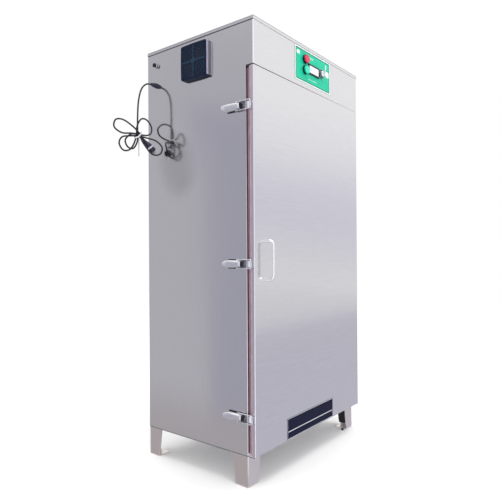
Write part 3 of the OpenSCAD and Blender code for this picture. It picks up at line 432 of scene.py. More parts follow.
class CABINET_OT_cord(bpy.types.Operator):
    """Makes the mains cord: one tube through all its stations, from the gland to the plug"""
    bl_idname = "cabinet.cord"
    bl_label = "Power cord"

    def execute(self, context):
        sizes = context.scene.cabinet_sizes
        line = smooth_line(np.array(CORD_STATIONS_MM, float) * MM, 8)
        rubber = plastic("PVC cord sheath, extruded", linear("#1D1D2C"), 0.42, 700.0, 0.02)
        lead = piece("mains_lead", [tube(line, sizes.cord_diameter / 2, sizes.cord_sides)], rubber, "cabinet")
        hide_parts("power_cord")
        plug = self.plug(line[-1])
        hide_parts("power_plug")
        paint(plastic("polyamide cable tie, moulded", linear("#EDEDEA"), 0.4), "cable_tie")
        return {"FINISHED"}

    @staticmethod
    def plug(end):
        """Moulded plug: a tapered relief, a waisted body and a grip ring turned on the plug's axis, with
        three flat blades."""
        ahead = unit(np.array([0.62, -0.25, -0.74]))
        side = unit(np.cross(ahead, (0, 0, 1.0)))
        up = np.cross(ahead, side)
        place = lambda u, v, w: end + u[:, None] * side + v[:, None] * up + w[:, None] * ahead
        dark = plastic("PVC plug, moulded", linear("#1B1B2E"), 0.3, 500.0, 0.02)
        turned = [(0.0, -0.001), (3.7, -0.001), (4.8, 5), (4.4, 6), (5.6, 10), (5.2, 11), (6.8, 16),
                  (8.4, 22), (11.0, 30), (12.6, 37), (12.2, 43), (12.6, 48), (13.8, 52), (14.0, 55),
                  (12.8, 58.6), (10.0, 60), (0.0, 60)]
        blade = lambda x, y, angle: slab((spun(rounded(6.3, 1.6, 0.4, 3), angle) + [[x, y]]) * MM,
                                         60 * MM, 67 * MM, place)
        metal = bright_metal("nickel-plated brass blades", linear("#8C8A88"), 0.3)
        body = piece("mains_plug", [lathe(np.array(turned) * MM, place, 40)], dark, "cabinet",
                     sharp=50)
        pins = [blade(-6.2, 3.4, 2.1), blade(-6.2, -3.4, 1.05), blade(8.0, 0.0, 1.57)]
        piece("plug_blades", pins, metal, "cabinet")
        # painted highlight: a pale ring round the plug's body stands in for the highlight across it
        label = plastic("PVC plug, pale insert", linear("#C9C9DC"), 0.4, 500.0, 0.02)
        band = np.array([(12.4, 38.5), (13.0, 38.7), (12.7, 42.0), (12.7, 44.3), (12.1, 44.5)]) * MM
        piece("plug_highlight_band", [lathe(band, place, 40)], label, "cabinet")
        return body


class CABINET_OT_casing(bpy.types.Operator):
    """Brushed stainless for the casing, the door, the legs and the chamber, with eased folds"""
    bl_idname = "cabinet.casing"
    bl_label = "Casing and door"

    def execute(self, context):
        steel = four(context.scene.cabinet_colours.steel)
        across = (900.0, 900.0, 12.0)
        side = brushed_steel("stainless steel sheet, brushed, sides", steel, 0.12, across, wave=1.2)
        front = brushed_steel("stainless steel sheet, brushed, front", steel, 0.17, (14.0, 14.0, 700.0),
                              wave=0.6)

        def trim_side(p):
            """Draws the front edges back by a fold: beside the fascia, and beside the frame below it."""
            p[:, 1] += np.where(p[:, 1] < FRONT_Y + 0.0001, FOLD, 0.0)
            p[:, 1] += np.where((np.abs(p[:, 1] - FRAME_Y) < 1e-4) & (p[:, 2] < BAY_Z - 0.0001), FOLD, 0.0)
            return p

        def trim_fascia(p):
            """Draws the fascia's ends in to where its folds begin."""
            ends = (np.abs(p[:, 0]) > SIDE_X - 0.0015) & (p[:, 1] < FRONT_Y + SHEET + 0.0001)
            p[:, 0] -= np.where(ends, np.sign(p[:, 0]) * (FOLD - SHEET), 0.0)
            return p

        # the left sheet carries painted shade under the hanging cord and plug
        left = brushed_steel("stainless steel sheet, brushed, left side", steel, 0.12, across, wave=1.2,
                             cord_shade_points=((-SIDE_X, 0.115, 1.120), (-SIDE_X, 0.055, 1.000)))
        eased("left_side_sheet", "left_side_panel", 0.0004, left, "cabinet", 2, trim_side)
        eased("right_side_sheet", "right_side_panel", 0.0004, side, "cabinet", 2, trim_side)
        eased("roof_sheet", "roof_cover", 0.0006, side, "cabinet")
        eased("fascia_sheet", "fascia_panel", 0.0003, front, "cabinet", 2, trim_fascia)
        # painted highlight: each fold takes its own tint of the sheet's steel, set to tune the highlight its
        # bend catches; palest at the fascia
        for name, y, low, high, tint in (("casing_folds", FRAME_Y, BASE_Z, BAY_Z, "#DBD7DE"),
                                         ("fascia_folds", FRONT_Y, BAY_Z, 1.4987, "#FAF8FF")):
            painted_sheen = bright_metal("stainless steel, burnished, " + name, linear(tint), 0.16, 0.03)
            piece(name, [self.fold(s, y, low, high, FOLD, FOLD - SHEET, FOLD) for s in (-1, 1)], painted_sheen,
                  "cabinet", sharp=50)
        # painted highlight: the door's edge takes a pale bluish tint of the steel that lifts its bend's
        # highlight
        edge_painted_sheen = bright_metal("stainless steel, burnished, door's edge", linear("#E9E5F2"), 0.2, 0.03)
        bend = 0.0025
        edge = self.fold(-1, FRONT_Y, DOOR_LOW_Z + bend, DOOR_TOP_Z - bend, 0.0026, 0.0022, bend)
        piece("door_edge", [edge], edge_painted_sheen, "door", sharp=50)
        # the gap over the door closes towards the hinges
        within = SIDE_X - 0.0015
        lip = np.array([[-within, BAY_Z], [-within, 1.3478], [within, 1.3456], [within, BAY_Z]])
        piece("door_gap_lip", [slab(lip, -0.2648, -0.2540, upright)], front, "cabinet",
              smooth=False)
        # painted shade: dark strips in the gap over the door and at its left end, standing in for the shade
        # under the gap's lip
        piece("door_top_gap_shade", [slab(oblong(-within, 1.3430, within, BAY_Z), -0.2470, -0.2365, upright),
                                slab(oblong(-0.3597, 1.3456, -0.3586, BAY_Z), -0.2640, -0.2365, upright)],
              plastic("rubber bead, dark", linear("#3A2F38"), 0.6), "cabinet",
              smooth=False)
        paint(side, "back_panel", "front_frame", "bottom_panel", "machine_deck")
        paint(front, "door_skin", "door_liner")
        # painted shadow: dark grey strips under the roof cover's rim along both sides, standing in for the
        # shade under its overhang
        rim_painted_shade_and_light = plastic("silicone joint sealant, grey", linear("#3A383F"), 0.6, 500.0, 0.02)
        rim_underside_strips = [slab(oblong(x, -0.2640, x + SHEET, 0.2345), 1.4876, RIM_Z, lying) for x in (-0.3610, 0.3598)]
        piece("roof_rim_shadow", rim_underside_strips, rim_painted_shade_and_light, "cabinet")
        # painted light: a pale strip under the rim's front, lightening the shade under the overhang there
        pale = plastic("silicone joint sealant, pale", linear("#BDBBC0"), 0.6, 500.0, 0.02)
        painted_strip = slab(oblong(-0.3605, -0.2661, 0.3605, -0.2648), 1.4886, RIM_Z, lying)
        piece("roof_front_painted_light", [painted_strip], pale, "cabinet")
        # painted shadow: the strips along the sides' lower edges stand in for the shade under the casing's
        # bottom; the thin ring on the roof's rim is a dark line round its top edge
        dull = plastic("cut sheet edge, dulled", linear("#5C5A61"), 0.6, 500.0, 0.02)
        rim = ring_slab(rounded(0.7226, 0.5024, 0.001, 3), rounded(0.7196, 0.4996, 0.001, 3), 1.4987, 1.4999,
                        lambda u, v, w: lying(u, v - 0.015, w))
        side_foot_shadow = [slab(oblong(x, -0.2620, x + 0.0004, 0.2345), 0.1001, 0.1024, lying) for x in (-0.3604, 0.3600)]
        piece("casing_dark_edge_lines", [rim] + side_foot_shadow, dull, "cabinet")
        paint(brushed_steel("stainless steel angle, brushed", linear("#E4DDDC"), 0.34, across), "legs")
        # painted shade: a black plate on the front right leg stands in for the shaded inner face of the leg's
        # return flange, with a black bolt head below it
        painted_flange_shade = plastic("black rubber buffer, moulded", linear("#191719"), 0.6, 500.0)
        plate = np.array([[-0.2315, 0.076], [-0.2315, 0.026], [-0.2030, 0.026], [-0.1960, 0.076]])
        bolt = lathe([(0.005, 0.0), (0.005, 0.006), (0.0, 0.007)],
                     lambda u, v, w: lying(0.292 + u, -0.226 + v, w), 16)
        shade_pad = slab(plate, 0.3045, 0.3075, lambda u, v, w: lying(w, u, v))
        piece("leg_flange_shade", [shade_pad, bolt], painted_flange_shade, "cabinet", smooth=False)
        paint(brushed_steel("stainless steel, bright annealed", linear("#D5D5D8"), 0.2, (500.0, 500.0, 20.0)),
              "liner_sides", "liner_back", "liner_ceiling", "liner_floor", "air_baffle", "heater_cover",
              "shelf_rails", "upper_shelf", "middle_shelf", "lower_shelf")
        paint(bright_metal("stainless steel bar, polished", linear("#F0F0F4"), 0.24, 0.04), "door_handle")
        paint(bright_metal("stainless steel screws", linear("#B4B4B8"), 0.25, 0.2), "cabinet_screws",
              "door_screws")
        paint(matted("mineral wool, felted", linear("#D8CBA0"), 300.0, 1.0), "insulation", "door_insulation")
        return {"FINISHED"}

    @staticmethod
    def fold(s, y, low, high, outer, inner, r):
        """A sheet's quarter-round fold at a front corner of the casing, left for s = -1 and right for 1,
        from z low to high: arcs centre + k (cos a, sin a) of radius k = outer and inner, about the centre
        of the corner's radius r."""
        a = np.radians(np.linspace(180, 270, 9))
        arc = lambda k: np.stack([-SIDE_X + r + k * np.cos(a), y + r + k * np.sin(a)], 1)
        line = np.concatenate([arc(outer), arc(inner)[::-1]]) * np.array([[-s, 1]])
        return slab(line, low, high, lying)


class CABINET_OT_seal(bpy.types.Operator):
    """The door's silicone seal: a bulb between two grooves whose shade is painted in as dark strips, and a
    skirt lapped over the door's edge
    """
    bl_idname = "cabinet.seal"
    bl_label = "Door seal"

    def execute(self, context):
        rubber = plastic("silicone rubber seal, extruded", linear("#B58799"), 0.6, 500.0, 0.02)
        a = np.linspace(0, math.pi, 9)
        bulb = [(0.0028 - 0.0026 * math.sin(t), 0.0056 + 0.0018 * (1 - math.cos(t))) for t in a]
        profile = [(0.0045, 0.0), (0.0045, 0.0003), (0.0115, 0.0004), (0.0115, 0.0053)] + bulb
        profile += [(0.0110, 0.0095), (0.0110, 0.0121), (0.0030, 0.0124), (0.0030, 0.0127), (0.0125, 0.0127),
                    (0.0130, 0.0)]
        low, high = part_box("door_gasket")
        place = on_front((low[0] + high[0]) / 2, (low[2] + high[2]) / 2, low[1])
        ring = lambda line: swept_ring(high[0] - low[0], high[2] - low[2], 0.002,
                                       [(inset, -depth) for inset, depth in line], place)
        seal = piece("door_seal", [ring(profile)], rubber, "door")
        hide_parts("door_gasket")
        # painted shade: dark strips in the bottoms of the two grooves beside the bulb
        dark = plastic("silicone rubber channel, dark", linear("#3A222C"), 0.6, 500.0, 0.02)
        groove_shade_strips = [oblong(0.0009, 0.0010, 0.0118, 0.0043), oblong(0.0026, 0.0097, 0.0118, 0.0120)]
        piece("door_seal_groove_shade", [ring(line) for line in groove_shade_strips], dark, "door")
        pink = plastic("silicone rubber skirt, stretched pale", linear("#A68E9C"), 0.5, 500.0, 0.02)
        skirt = slab(rounded(0.006, DOOR_TOP_Z - DOOR_LOW_Z - 0.004, 0.0003, 3), 0.0, 0.0003,
                     on_left(-0.2511, (DOOR_LOW_Z + DOOR_TOP_Z) / 2, -SIDE_X))
        piece("door_seal_skirt", [skirt], pink, "door", sharp=50)
        return {"FINISHED"}


class CABINET_OT_latches(bpy.types.Operator):
    """Draw latches: pressed half-round levers, wire bails, bases and keepers"""
    bl_idname = "cabinet.latches"
    bl_label = "Latches and hinges"

    def execute(self, context):
        plated = bright_metal("nickel-plated steel, pressed", linear("#EDEDF2"), 0.3)
        for where, z in LATCH_Z.items():
            lever = piece("lever_" + where, [self.lever(z)], plated, "latch_lever_" + where,
                          sharp=50)
            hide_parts("latch_lever_" + where)
            paint(plated, "latch_bail_" + where)
        # painted shadow: black strips on the side just above and below each lever, standing in for the shade
        # in the gap between lever and sheet
        lever_shadow_strips = [slab(rounded(0.044, 0.0045, 0.001, 3), 0.0, 0.0022, on_left(-0.180, z + up, -SIDE_X))
                for z in LATCH_Z.values() for up in (-0.013, 0.013)]
        piece("latch_lever_shadows", lever_shadow_strips, plastic("rubber stop pad, black", linear("#26242E"), 0.6, 500.0), "cabinet")
        claws = [self.claw(z) for z in LATCH_Z.values()]
        piece("latch_claws", claws, plated, "door", sharp=50)
        seat = bright_metal("zinc-plated steel, pressed", linear("#8F8F98"), 0.3)
        eased("latch_seats", "latch_bases", 0.0004, seat, "cabinet", 2)
        eased("latch_hooks", "latch_keepers", 0.0004, plated, "door", 2)
        paint(bright_metal("stainless steel hinge, satin", linear("#CFCFD4"), 0.25), "hinge_body_leaves",
              "hinge_door_leaves", "hinge_pins")
        return {"FINISHED"}

    @staticmethod
    def claw(z):
        """A pressed strap carried up the door's edge: a hump over the seal, out = 0.5 + 4 sin^0.8 (pi s) mm
        for s from 0 to 1 across it, 1 mm thick."""
        s = np.linspace(0, 1, 15)
        out = (0.5 + 4.0 * np.sin(math.pi * s) ** 0.8) * MM
        y = -0.2505 + 0.0150 * s
        inner = np.stack([-SIDE_X - out, y], 1)
        line = np.concatenate([inner - [[0.001, 0]], inner[::-1]])
        return slab(line, z - 0.0105, z + 0.0105, lying)

    @staticmethod
    def lever(z):
        """A channel carried along the lever. Across it, for t from pi to 0: c = w cos^0.7 t to the side and
        out = low + (top - low) sin^0.7 t outwards; the inner wall is the same curve 1.4 mm smaller."""
        b = np.array([-5, -3, 0, 6, 14, 24, 34, 44, 50, 55, 59, 62, 64.0])[:, None]
        wide = np.interp(b, [-5, 0, 44, 56, 64], [11.6, 12, 12, 9.6, 6.5])
        top = np.interp(b, [-5, 0, 6, 40, 50, 64], [5.0, 7.2, 7.9, 8.3, 8.6, 12.6])
        low = np.interp(b, [-5, 6, 30, 48, 64], [-5.4, -5.4, -1.5, 3.5, 10.2])
        t = np.linspace(math.pi, 0, 25)[None, :]
        rows = []
        for wall in (0.0, 1.4):
            c = (wide - wall) * np.sign(np.cos(t)) * np.abs(np.cos(t)) ** 0.7
            out = low + (top - wall - low) * np.abs(np.sin(t)) ** 0.7
            rows.append(np.stack([LEVER_X - out * MM, LEVER_Y + (b + 0 * t) * MM, z + c * MM], 2))
        rings = np.concatenate([rows[0], rows[1][:, ::-1]], 1)
        n = rings.shape[1]
        faces = grid_faces(len(b), n, True).tolist()
        i = np.arange(n // 2 - 1)
        near = np.stack([i, i + 1, n - 2 - i, n - 1 - i], 1)
        far = (near + (len(b) - 1) * n)[:, ::-1]
        return rings, faces + near.tolist() + far.tolist()


class CABINET_OT_fan(bpy.types.Operator):
    """The side fan with its snap-on cover, filter and rotor, and the chamber's wheel, motor and heaters"""
    bl_idname = "cabinet.fan"
    bl_label = "Fans and heaters"

    def execute(self, context):
        navy = four(context.scene.cabinet_colours.guard)
        cover = plastic("ABS fan cover, moulded", navy, 0.42, 600.0, 0.05, ior=1.2)
        # painted sheen: the cover's raised rings, arms and hub take a paler copy of its navy
        rib_sheen = plastic("ABS fan cover, ribs", linear("#20334A"), 0.42, 600.0, 0.05, ior=1.2)
        pale = plastic("ABS fan frame, moulded, pale", linear("#A9A7BE"), 0.4, 600.0, 0.05, 0.06)
        neck_shade_grey = plastic("ABS fan frame, moulded, grey", linear("#77757C"), 0.5, 600.0, 0.05, 0.06)
        place = on_left(GUARD_Y, GUARD_Z, GUARD_FACE_X)
        size, depth, hole = 0.120, -SIDE_X - GUARD_FACE_X, 0.054
        steps = 96
        a = (np.arange(steps) + 0.5) / steps * 2 * math.pi
        circle = lambda r: np.stack([r * np.cos(a), r * np.sin(a)], 1)
        # square with the same count of points: each ray of the circle carried out to the rounded square
        square = circle(1.0) * (size / 2 / np.maximum(np.abs(np.cos(a)), np.abs(np.sin(a))))[:, None]
        square = square * (0.985 + 0.015 * np.abs(np.cos(2 * a))[:, None])
        lip = -0.010
        shell = looped([(square * 0.998, lip), (square, -0.0012), (square * 0.992, 0.0), (circle(hole), 0.0),
                        (circle(hole), -0.004), (circle(hole + 0.003), -0.005), (square * 0.94, -0.006),
                        (square * 0.94, lip)], place)
        guard = piece("fan_cover", [shell], cover, "cabinet", sharp=30)
        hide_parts("fan_guard")
        neck = ring_slab(square * 0.99, circle(hole), -depth, lip, place)
        piece("fan_neck", [neck], cover, "cabinet", sharp=30)
        rings = [ring_slab(circle(r + 0.001), circle(r - 0.001), -0.0026, -0.0004, place)
                 for r in (0.022, 0.032, 0.042, 0.052)]
        arm = rounded(0.046, 0.006, 0.001, 3) + [[0.032, 0]]
        arms = [slab(spun(arm, q * math.pi / 2), -0.003, -0.0002, place) for q in range(4)]
        hub = lathe([(0.0, -0.003), (0.011, -0.003), (0.011, -0.0006), (0.010, -0.0001), (0.0, 0.0)], place)
        piece("fan_cover_ribs", rings + arms + [hub], rib_sheen, "cabinet", sharp=30)
        caps = [lathe([(0.0042, 0.0), (0.0042, 0.0009), (0.003, 0.0018), (0.0, 0.0021)],
                      on_left(GUARD_Y + u * 0.0525, GUARD_Z + v * 0.0525, GUARD_FACE_X), 20)
                for u in (-1, 1) for v in (-1, 1)]
        piece("fan_cover_caps", caps, cover, "cabinet")
        # the pale frame shows at the two upright sides, between the cover's wrapped top and bottom
        sides = lambda wide, x: [
            slab(rounded(wide, 0.116, 0.0005, 3), 0.0, 0.0006, lambda u, v, w, s=s: upright(
                GUARD_FACE_X + x + u, GUARD_Z + v, GUARD_Y + s * (size / 2 - 0.0002 + w))) for s in (-1, 1)]
        piece("fan_frame_sides", sides(0.0072, 0.0064), pale, "cabinet")
        # painted shade: grey plates on the neck's upright sides stand in for the shaded steel seen in the gap
        # behind the cover
        piece("fan_neck_shade_sides", sides(0.0074, 0.0138), neck_shade_grey, "cabinet")
        paint(cover, "fan_housing", "fan_rotor")
        paint(matted("polyester filter mat", shade(navy, 0.9), 500.0, 0.8), "fan_filter")
        paint(brushed_steel("heater sheath, nickel alloy, heat-dulled", linear("#8A7F78"), 0.4,
                            (60.0, 60.0, 60.0), 0.25), "heater_elements", "temperature_probe")
        paint(plastic("motor enamel, sprayed", linear("#4A5055"), 0.35, 800.0, 0.04), "circulation_motor")
        paint(bright_metal("aluminium sheet, as rolled", linear("#C4C6C9"), 0.3, 0.15), "circulation_wheel")
        return {"FINISHED"}


class CABINET_OT_controls(bpy.types.Operator):
    """The control plate's printed film, buttons, display and knob"""
    bl_idname = "cabinet.controls"
    bl_label = "Controls"

    def execute(self, context):
        film = four(context.scene.cabinet_colours.film)
        paint(plastic("polyester control film, back-printed", film, 0.3, 300.0, 0.01, 0.04, ior=1.25),
              "control_plate")
        black = plastic("black polyamide, moulded", linear("#101114"), 0.4)
        for name, node in (("button_rings", "button_bezels"), ("display_frame", "display_bezel")):
            eased(name, node, 0.0008, black, "cabinet")
        paint(black, "control_module", "fuse_holder")
        paint(plastic("polyamide cable gland, moulded", linear("#1C2038"), 0.3, 600.0, 0.02), "cord_gland")
        for hue, tint in (("red", "#E0325C"), ("green", "#0FE3BC")):
            paint(plastic(hue + " polycarbonate lens", linear(tint), 0.3, 300.0, 0.0, 0.06), hue + "_button")
        paint(plastic("acrylic display window", linear("#F1F3FB"), 0.2, 300.0, 0.0, 0.03), "display_window")
        satin = bright_metal("aluminium, satin anodised", linear("#F2F5F8"), 0.34)
        # drawn in by 12 per cent about its own axis
        narrow = lambda p: p * [0.88, 1.0, 0.88] + 0.12 * np.array([KNOB_X, 0.0, KNOB_Z])
        eased("knob", "selector_knob", 0.0009, satin, "selector_knob", move=narrow)
        paint(bright_metal("zinc knob ring, die-cast", linear("#A4A8B0"), 0.4), "selector_bezel")
        collar = lathe(np.array([(7.0, 2.1), (7.7, 2.3), (7.7, 5.6), (7.0, 5.8)]) * MM,
                       on_left(FUSE_Y, FUSE_Z, -SIDE_X), 32)
        natural = plastic("polyamide collar, natural", linear("#E4E2EC"), 0.4)
        piece("fuse_collar", [collar], natural, "cabinet")
        self.print_film()
        return {"FINISHED"}

    @staticmethod
    def print_film():
        """White border, a darker inner line, ticks round the knob and plain bars, all 0.05 mm proud."""
        low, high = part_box("control_plate")
        cx, cz, w, h = (low[0] + high[0]) / 2, (low[2] + high[2]) / 2, high[0] - low[0], high[2] - low[2]
        white = plastic("white screen ink", linear("#EEF8F4"), 0.5, 300.0, 0.0, 0.03)
        teal = plastic("dark green screen ink", linear("#0E5644"), 0.5, 300.0, 0.0, 0.05)
        place = on_front(cx, cz, PLATE_FACE_Y)
        ink = 0.05 * MM
        frame_line = lambda inset, thick: ring_slab(
            rounded(w - 2 * inset, h - 2 * inset, 0.003),
            rounded(w - 2 * inset - 2 * thick, h - 2 * inset - 2 * thick, 0.002), 0.0, ink, place)
        bar = lambda x, z, wide, tall: slab(
            rounded(wide, tall, min(wide, tall) * 0.2, 3) + [[x - cx, z - cz]], 0.0, ink, place)
        tick = rounded(0.004, 0.0009, 0.0002, 2) + [[0.0215, 0]]
        ticks = [slab(spun(tick, a) + [[KNOB_X - cx, KNOB_Z - cz]], 0.0, ink, place)
                 for a in np.radians(np.linspace(-45, 225, 10))]
        bars = [bar(-0.098, 1.466, 0.020, 0.013), bar(-0.020, 1.4665, 0.062, 0.0016),
                bar(-0.020, 1.4610, 0.046, 0.0012), bar(0.098, 1.463, 0.007, 0.018),
                bar(0.109, 1.437, 0.023, 0.022), bar(0.0, 1.385, 0.060, 0.0012)]
        piece("film_print_white", [frame_line(0.0004, 0.0040)] + ticks + bars, white, "cabinet")
        piece("film_print_dark", [frame_line(0.0044, 0.0034)], teal, "cabinet")


class CABINET_OT_door_plate(bpy.types.Operator):
    """A plain plate on the door's lower edge with a border and one rule"""
    bl_idname = "cabinet.door_plate"
    bl_label = "Door plate"

    def execute(self, context):
        sizes = context.scene.cabinet_sizes
        navy = plastic("anodised label plate, navy", four(context.scene.cabinet_colours.plate), 0.45, 300.0,
                       0.01, ior=1.15)
        white = plastic("white screen ink", linear("#E8E9F0"), 0.5, 300.0, 0.0, 0.03)
        place = on_front(DOOR_PLATE_X, DOOR_PLATE_Z, FRONT_Y)
        w, h = sizes.plate_w, sizes.plate_h
        face, ink = 0.8 * MM, 0.9 * MM
        piece("door_plate", [slab(rounded(w, h, 0.002), 0.0, face, place)], navy, "door")
        rule = slab(rounded(w - 0.012, 0.0024, 0.0008, 3) + [[0, -0.010]], face, ink, place)
        border = ring_slab(rounded(w - 0.002, h - 0.002, 0.002), rounded(w - 0.0044, h - 0.0044, 0.0015),
                           face, ink, place)
        piece("door_plate_rule", [rule, border], white, "door")
        return {"FINISHED"}


# ---- Stage ----

# The camera's place, its angles in degrees (heading from +Y towards +X, tilt up, roll) and its focal length
CAMERA_AT_MM = (-1610.9, -1227.2, 749.9)
CAMERA_YAW_PITCH_ROLL = (51.93, 0.28, -0.34)
FOCAL_PIXELS = 501.4
IMAGE_PIXELS = 500


def grey(v, blue=1.0):
    """A stage tone of lightness v, its blue multiplied by the given factor."""
    return (v, v * 0.995, v * blue, 1.0)


def white_world(context):
    """A plain white surround, the same for every ray."""
    world = bpy.data.worlds.new("studio")
    context.scene.world = world
    world.use_nodes = True
    world.node_tree.nodes.clear()
    light = add(world.node_tree, "Background", {"Color": (1, 1, 1, 1), "Strength": 1.0})
    add(world.node_tree, "OutputWorld", {"Surface": light})


def reflected_only(name, points, faces, material):
    """A stage flat that shows only in what the steel mirrors: it gives no light, shade or background."""
    mesh = bpy.data.meshes.new(name)
    mesh.from_pydata(points.tolist(), [], faces)
    mesh.materials.append(material)
    made = stand(name, mesh)
    for kind in ("camera", "diffuse", "shadow", "transmission", "volume_scatter"):
        setattr(made, "visible_" + kind, False)


def even_cloth(name, centre, tones):
    """Evenly lit stage cloth: its tone depends only on the direction in which it is seen from a centre."""
    made, tree, place = blank(name + ", stage cloth")
    from_centre = add(tree, "VectorMath", {0: place, 1: centre}, operation="SUBTRACT")
    way = add(tree, "VectorMath", {0: from_centre}, operation="NORMALIZE")
    axes = add(tree, "SeparateXYZ", {"Vector": way}).outputs
    top = add(tree, "MapRange", {"Value": axes["Z"], "From Min": 0.35, "From Max": 0.75},
              interpolation_type="SMOOTHSTEP")
    tone = add(tree, "Mix", {0: top, 6: tones(tree, axes), 7: grey(1.0)}, data_type="RGBA").outputs[2]
    add(tree, "OutputMaterial", {"Surface": add(tree, "Emission", {"Color": tone, "Strength": 1.0})})
    return made


def wall_flat(name, azimuths, tones):
    """A distant pale wall as a patch of a sphere: radius (sin a cos e, cos a cos e, sin e),
    azimuth a from +Y towards +X, elevation e from 20 degrees below to 52 above the floor line."""
    radius, rows, columns = 300.0, 19, 25
    a, e = np.meshgrid(np.radians(np.linspace(*azimuths, columns)), np.radians(np.linspace(-20, 52, rows)))
    points = radius * np.stack([np.sin(a) * np.cos(e), np.cos(a) * np.cos(e), np.sin(e)], 2).reshape(-1, 3)
    reflected_only(name, points, grid_faces(rows, columns, False).tolist(),
                   even_cloth(name, (0, 0, 0), tones))


def front_tones(tree, axes):
    """Bright above, a soft band at eye level, darker towards the floor; it leans a little with X."""
    middle, spread = 0.2765, 1.25
    height = add(tree, "Math", {0: axes["X"], 1: 0.35, 2: axes["Z"]}, operation="MULTIPLY_ADD")
    height = add(tree, "Math", {0: height, 1: spread, 2: 0.5 - spread * middle}, operation="MULTIPLY_ADD")
    return add(tree, "ValToRGB", {"Fac": height}, stops=[
        (0.05, grey(0.72, 1.03)), (0.20, grey(0.76, 1.03)), (0.30, grey(0.84, 1.03)), (0.40, grey(0.87)),
        (0.476, grey(0.87)), (0.55, grey(0.79, 1.08)), (0.624, grey(0.75, 1.11)), (0.70, grey(0.82, 1.09)),
        (0.77, grey(0.97, 1.02)), (0.88, grey(1.05))])


def left_tones(tree, axes):
    """Paler towards the back and the top."""
    back = add(tree, "MapRange", {"Value": axes["Y"], "From Min": 0.664, "From Max": 0.692},
               interpolation_type="SMOOTHSTEP")
    top = add(tree, "MapRange", {"Value": axes["Z"], "From Min": 0.255, "From Max": 0.305, "To Max": 0.85},
              interpolation_type="SMOOTHSTEP")
    pale = add(tree, "Math", {0: back, 1: top}, operation="MAXIMUM")
    return add(tree, "ValToRGB", {"Fac": pale}, stops=[(0.0, grey(0.43, 1.17)), (1.0, grey(0.54, 1.06))])


def left_mat_tones(tree, axes):
    """As the left flat, turning to one warm grey near the cabinet's foot."""
    place = add(tree, "TexCoord").outputs["Object"]
    across = add(tree, "SeparateXYZ", {"Vector": place}).outputs["X"]
    near = add(tree, "MapRange", {"Value": across, "From Min": -1.2, "From Max": -0.5},
               interpolation_type="SMOOTHSTEP")
    return add(tree, "Mix", {0: near, 6: left_tones(tree, axes), 7: (0.475, 0.45, 0.465, 1.0)},
               data_type="RGBA").outputs[2]


def screed(name, tint, glow):
    """Floor paint rolled on screed: dull, with broad faint clouds half a metre across, and a little glow."""
    made, tree, place = blank(name)
    cloud = add(tree, "TexNoise", {"Scale": 2.0, "Detail": 3.0, "Vector": place})
    mottle = add(tree, "ValToRGB", {"Fac": cloud}, stops=[(0.3, shade(tint, 0.98)), (0.7, tint)])
    coat = add(tree, "BsdfDiffuse", {"Color": mottle})
    light = add(tree, "Emission", {"Color": (1, 1, 1, 1), "Strength": glow})
    add(tree, "OutputMaterial", {"Surface": add(tree, "AddShader", {0: coat, 1: light})})
    return made


def studio_floor():
    """A white floor, and three grey mats on it that only the steel mirrors, as evenly lit as the flats."""
    mesh = bpy.data.meshes.new("studio_floor")
    reach, lift, square = 6, 0.001, [[0, 1, 2, 3]]
    corners = lambda x0, y0, x1, y1, z: np.array([[x0, y0, z], [x1, y0, z], [x1, y1, z], [x0, y1, z]])
    mesh.from_pydata(corners(-reach, -reach, reach, reach, 0.0).tolist(), [], square)
    mesh.materials.append(screed("floor paint, white", (0.97, 0.97, 0.97, 1.0), 0.02))
    floor = stand("studio_floor", mesh)
    seen_from = (0.891, -1.227, 0.0)  # the camera's place mirrored in the left side
    beside = -SIDE_X - lift
    reflected_only("left_mat", corners(-reach, -0.30, beside, reach, lift), square,
                   even_cloth("left_mat", seen_from, left_mat_tones))
    for name, far, near, tone in (("front_mat_near", -2.2, FRAME_Y - lift, grey(0.60, 1.13)),
                                  ("front_mat_far", -reach, -2.2, grey(0.78, 1.04))):
        reflected_only(name, corners(beside, far, reach, near, lift), square,
                       even_cloth(name, (0, 0, 0), lambda tree, axes, tone=tone: tone))


def posed(right, up, back, place):
    """The matrix of an object from its own three axes and its place."""
    turn = np.eye(4)
    turn[:3] = np.stack([right, up, back, place], 1)
    return Matrix(turn.tolist())


def lamp(name, place, target, size, power):
    """A square soft box aimed at a point: its size in metres, its power in watts."""
    data = bpy.data.lights.new(name, "AREA")
    data.shape = "SQUARE"
    data.size = size
    data.energy = power
    away = unit(np.array(place) - np.array(target))
    right = unit(np.cross((0, 0, 1), away))
    stand(name, data).matrix_world = posed(right, np.cross(away, right), away, place)


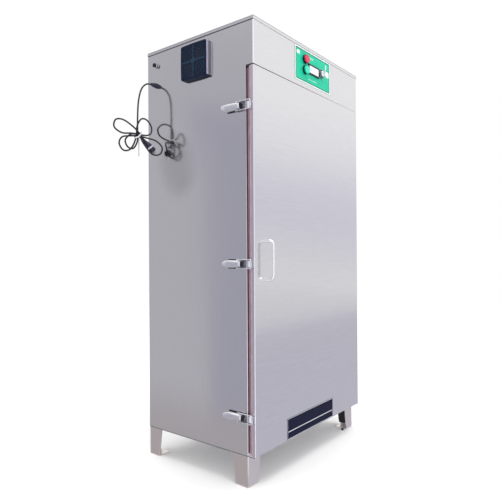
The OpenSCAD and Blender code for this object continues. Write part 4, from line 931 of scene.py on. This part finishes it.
class CABINET_OT_stage(bpy.types.Operator):
    """Floor, studio light and camera"""
    bl_idname = "cabinet.stage"
    bl_label = "Stage"

    def execute(self, context):
        scene = context.scene
        scene.view_settings.view_transform = "Standard"
        white_world(context)
        wall_flat("left_wall", (-85, -8), left_tones)
        wall_flat("front_wall", (92, 165), front_tones)
        studio_floor()
        middle = (0, 0, 0.9)
        lamp("key", (-1.0, -1.3, 4.8), middle, 1.8, 50)
        lamp("fill", (1.1, -1.0, 4.8), middle, 1.8, 24)
        lamp("back", (0.2, 2.6, 4.4), middle, 2.2, 32)
        data = bpy.data.cameras.new("camera")
        data.sensor_fit = "HORIZONTAL"
        data.sensor_width = 36.0
        data.lens = FOCAL_PIXELS * data.sensor_width / IMAGE_PIXELS
        data.clip_end = 60
        camera = stand("camera", data)
        sin, cos = math.sin, math.cos
        yaw, pitch, roll = (math.radians(angle) for angle in CAMERA_YAW_PITCH_ROLL)
        ahead = np.array([sin(yaw) * cos(pitch), cos(yaw) * cos(pitch), sin(pitch)])
        right = np.array([cos(yaw), -sin(yaw), 0.0])
        up = np.cross(right, ahead)
        camera.matrix_world = posed(right * cos(roll) + up * sin(roll), up * cos(roll) - right * sin(roll),
                                    -ahead, np.array(CAMERA_AT_MM) * MM)
        scene.camera = camera
        return {"FINISHED"}


class CABINET_PT_panel(bpy.types.Panel):
    """Sidebar panel with the sizes, the colours and a button for each step"""
    bl_idname = "CABINET_PT_panel"
    bl_label = "Hot air cabinet"
    bl_space_type = "VIEW_3D"
    bl_region_type = "UI"
    bl_category = "Cabinet"

    def draw(self, context):
        for group in (context.scene.cabinet_sizes, context.scene.cabinet_colours):
            for name in group.__annotations__:
                self.layout.prop(group, name)
        for step in STEPS:
            self.layout.operator(step.bl_idname)


STEPS = [CABINET_OT_stage, CABINET_OT_cord, CABINET_OT_casing, CABINET_OT_seal, CABINET_OT_latches,
         CABINET_OT_fan, CABINET_OT_controls, CABINET_OT_door_plate]
CLASSES = [CabinetSizes, CabinetColours, *STEPS, CABINET_PT_panel]


def register():
    for item in CLASSES:
        bpy.utils.register_class(item)
    bpy.types.Scene.cabinet_sizes = PointerProperty(type=CabinetSizes)
    bpy.types.Scene.cabinet_colours = PointerProperty(type=CabinetColours)


def unregister():
    del bpy.types.Scene.cabinet_sizes
    del bpy.types.Scene.cabinet_colours
    for item in reversed(CLASSES):
        bpy.utils.unregister_class(item)


def main():
    register()
    for step in STEPS:
        group, call = step.bl_idname.split(".")
        getattr(getattr(bpy.ops, group), call)()


if __name__ == "__main__":
    main()
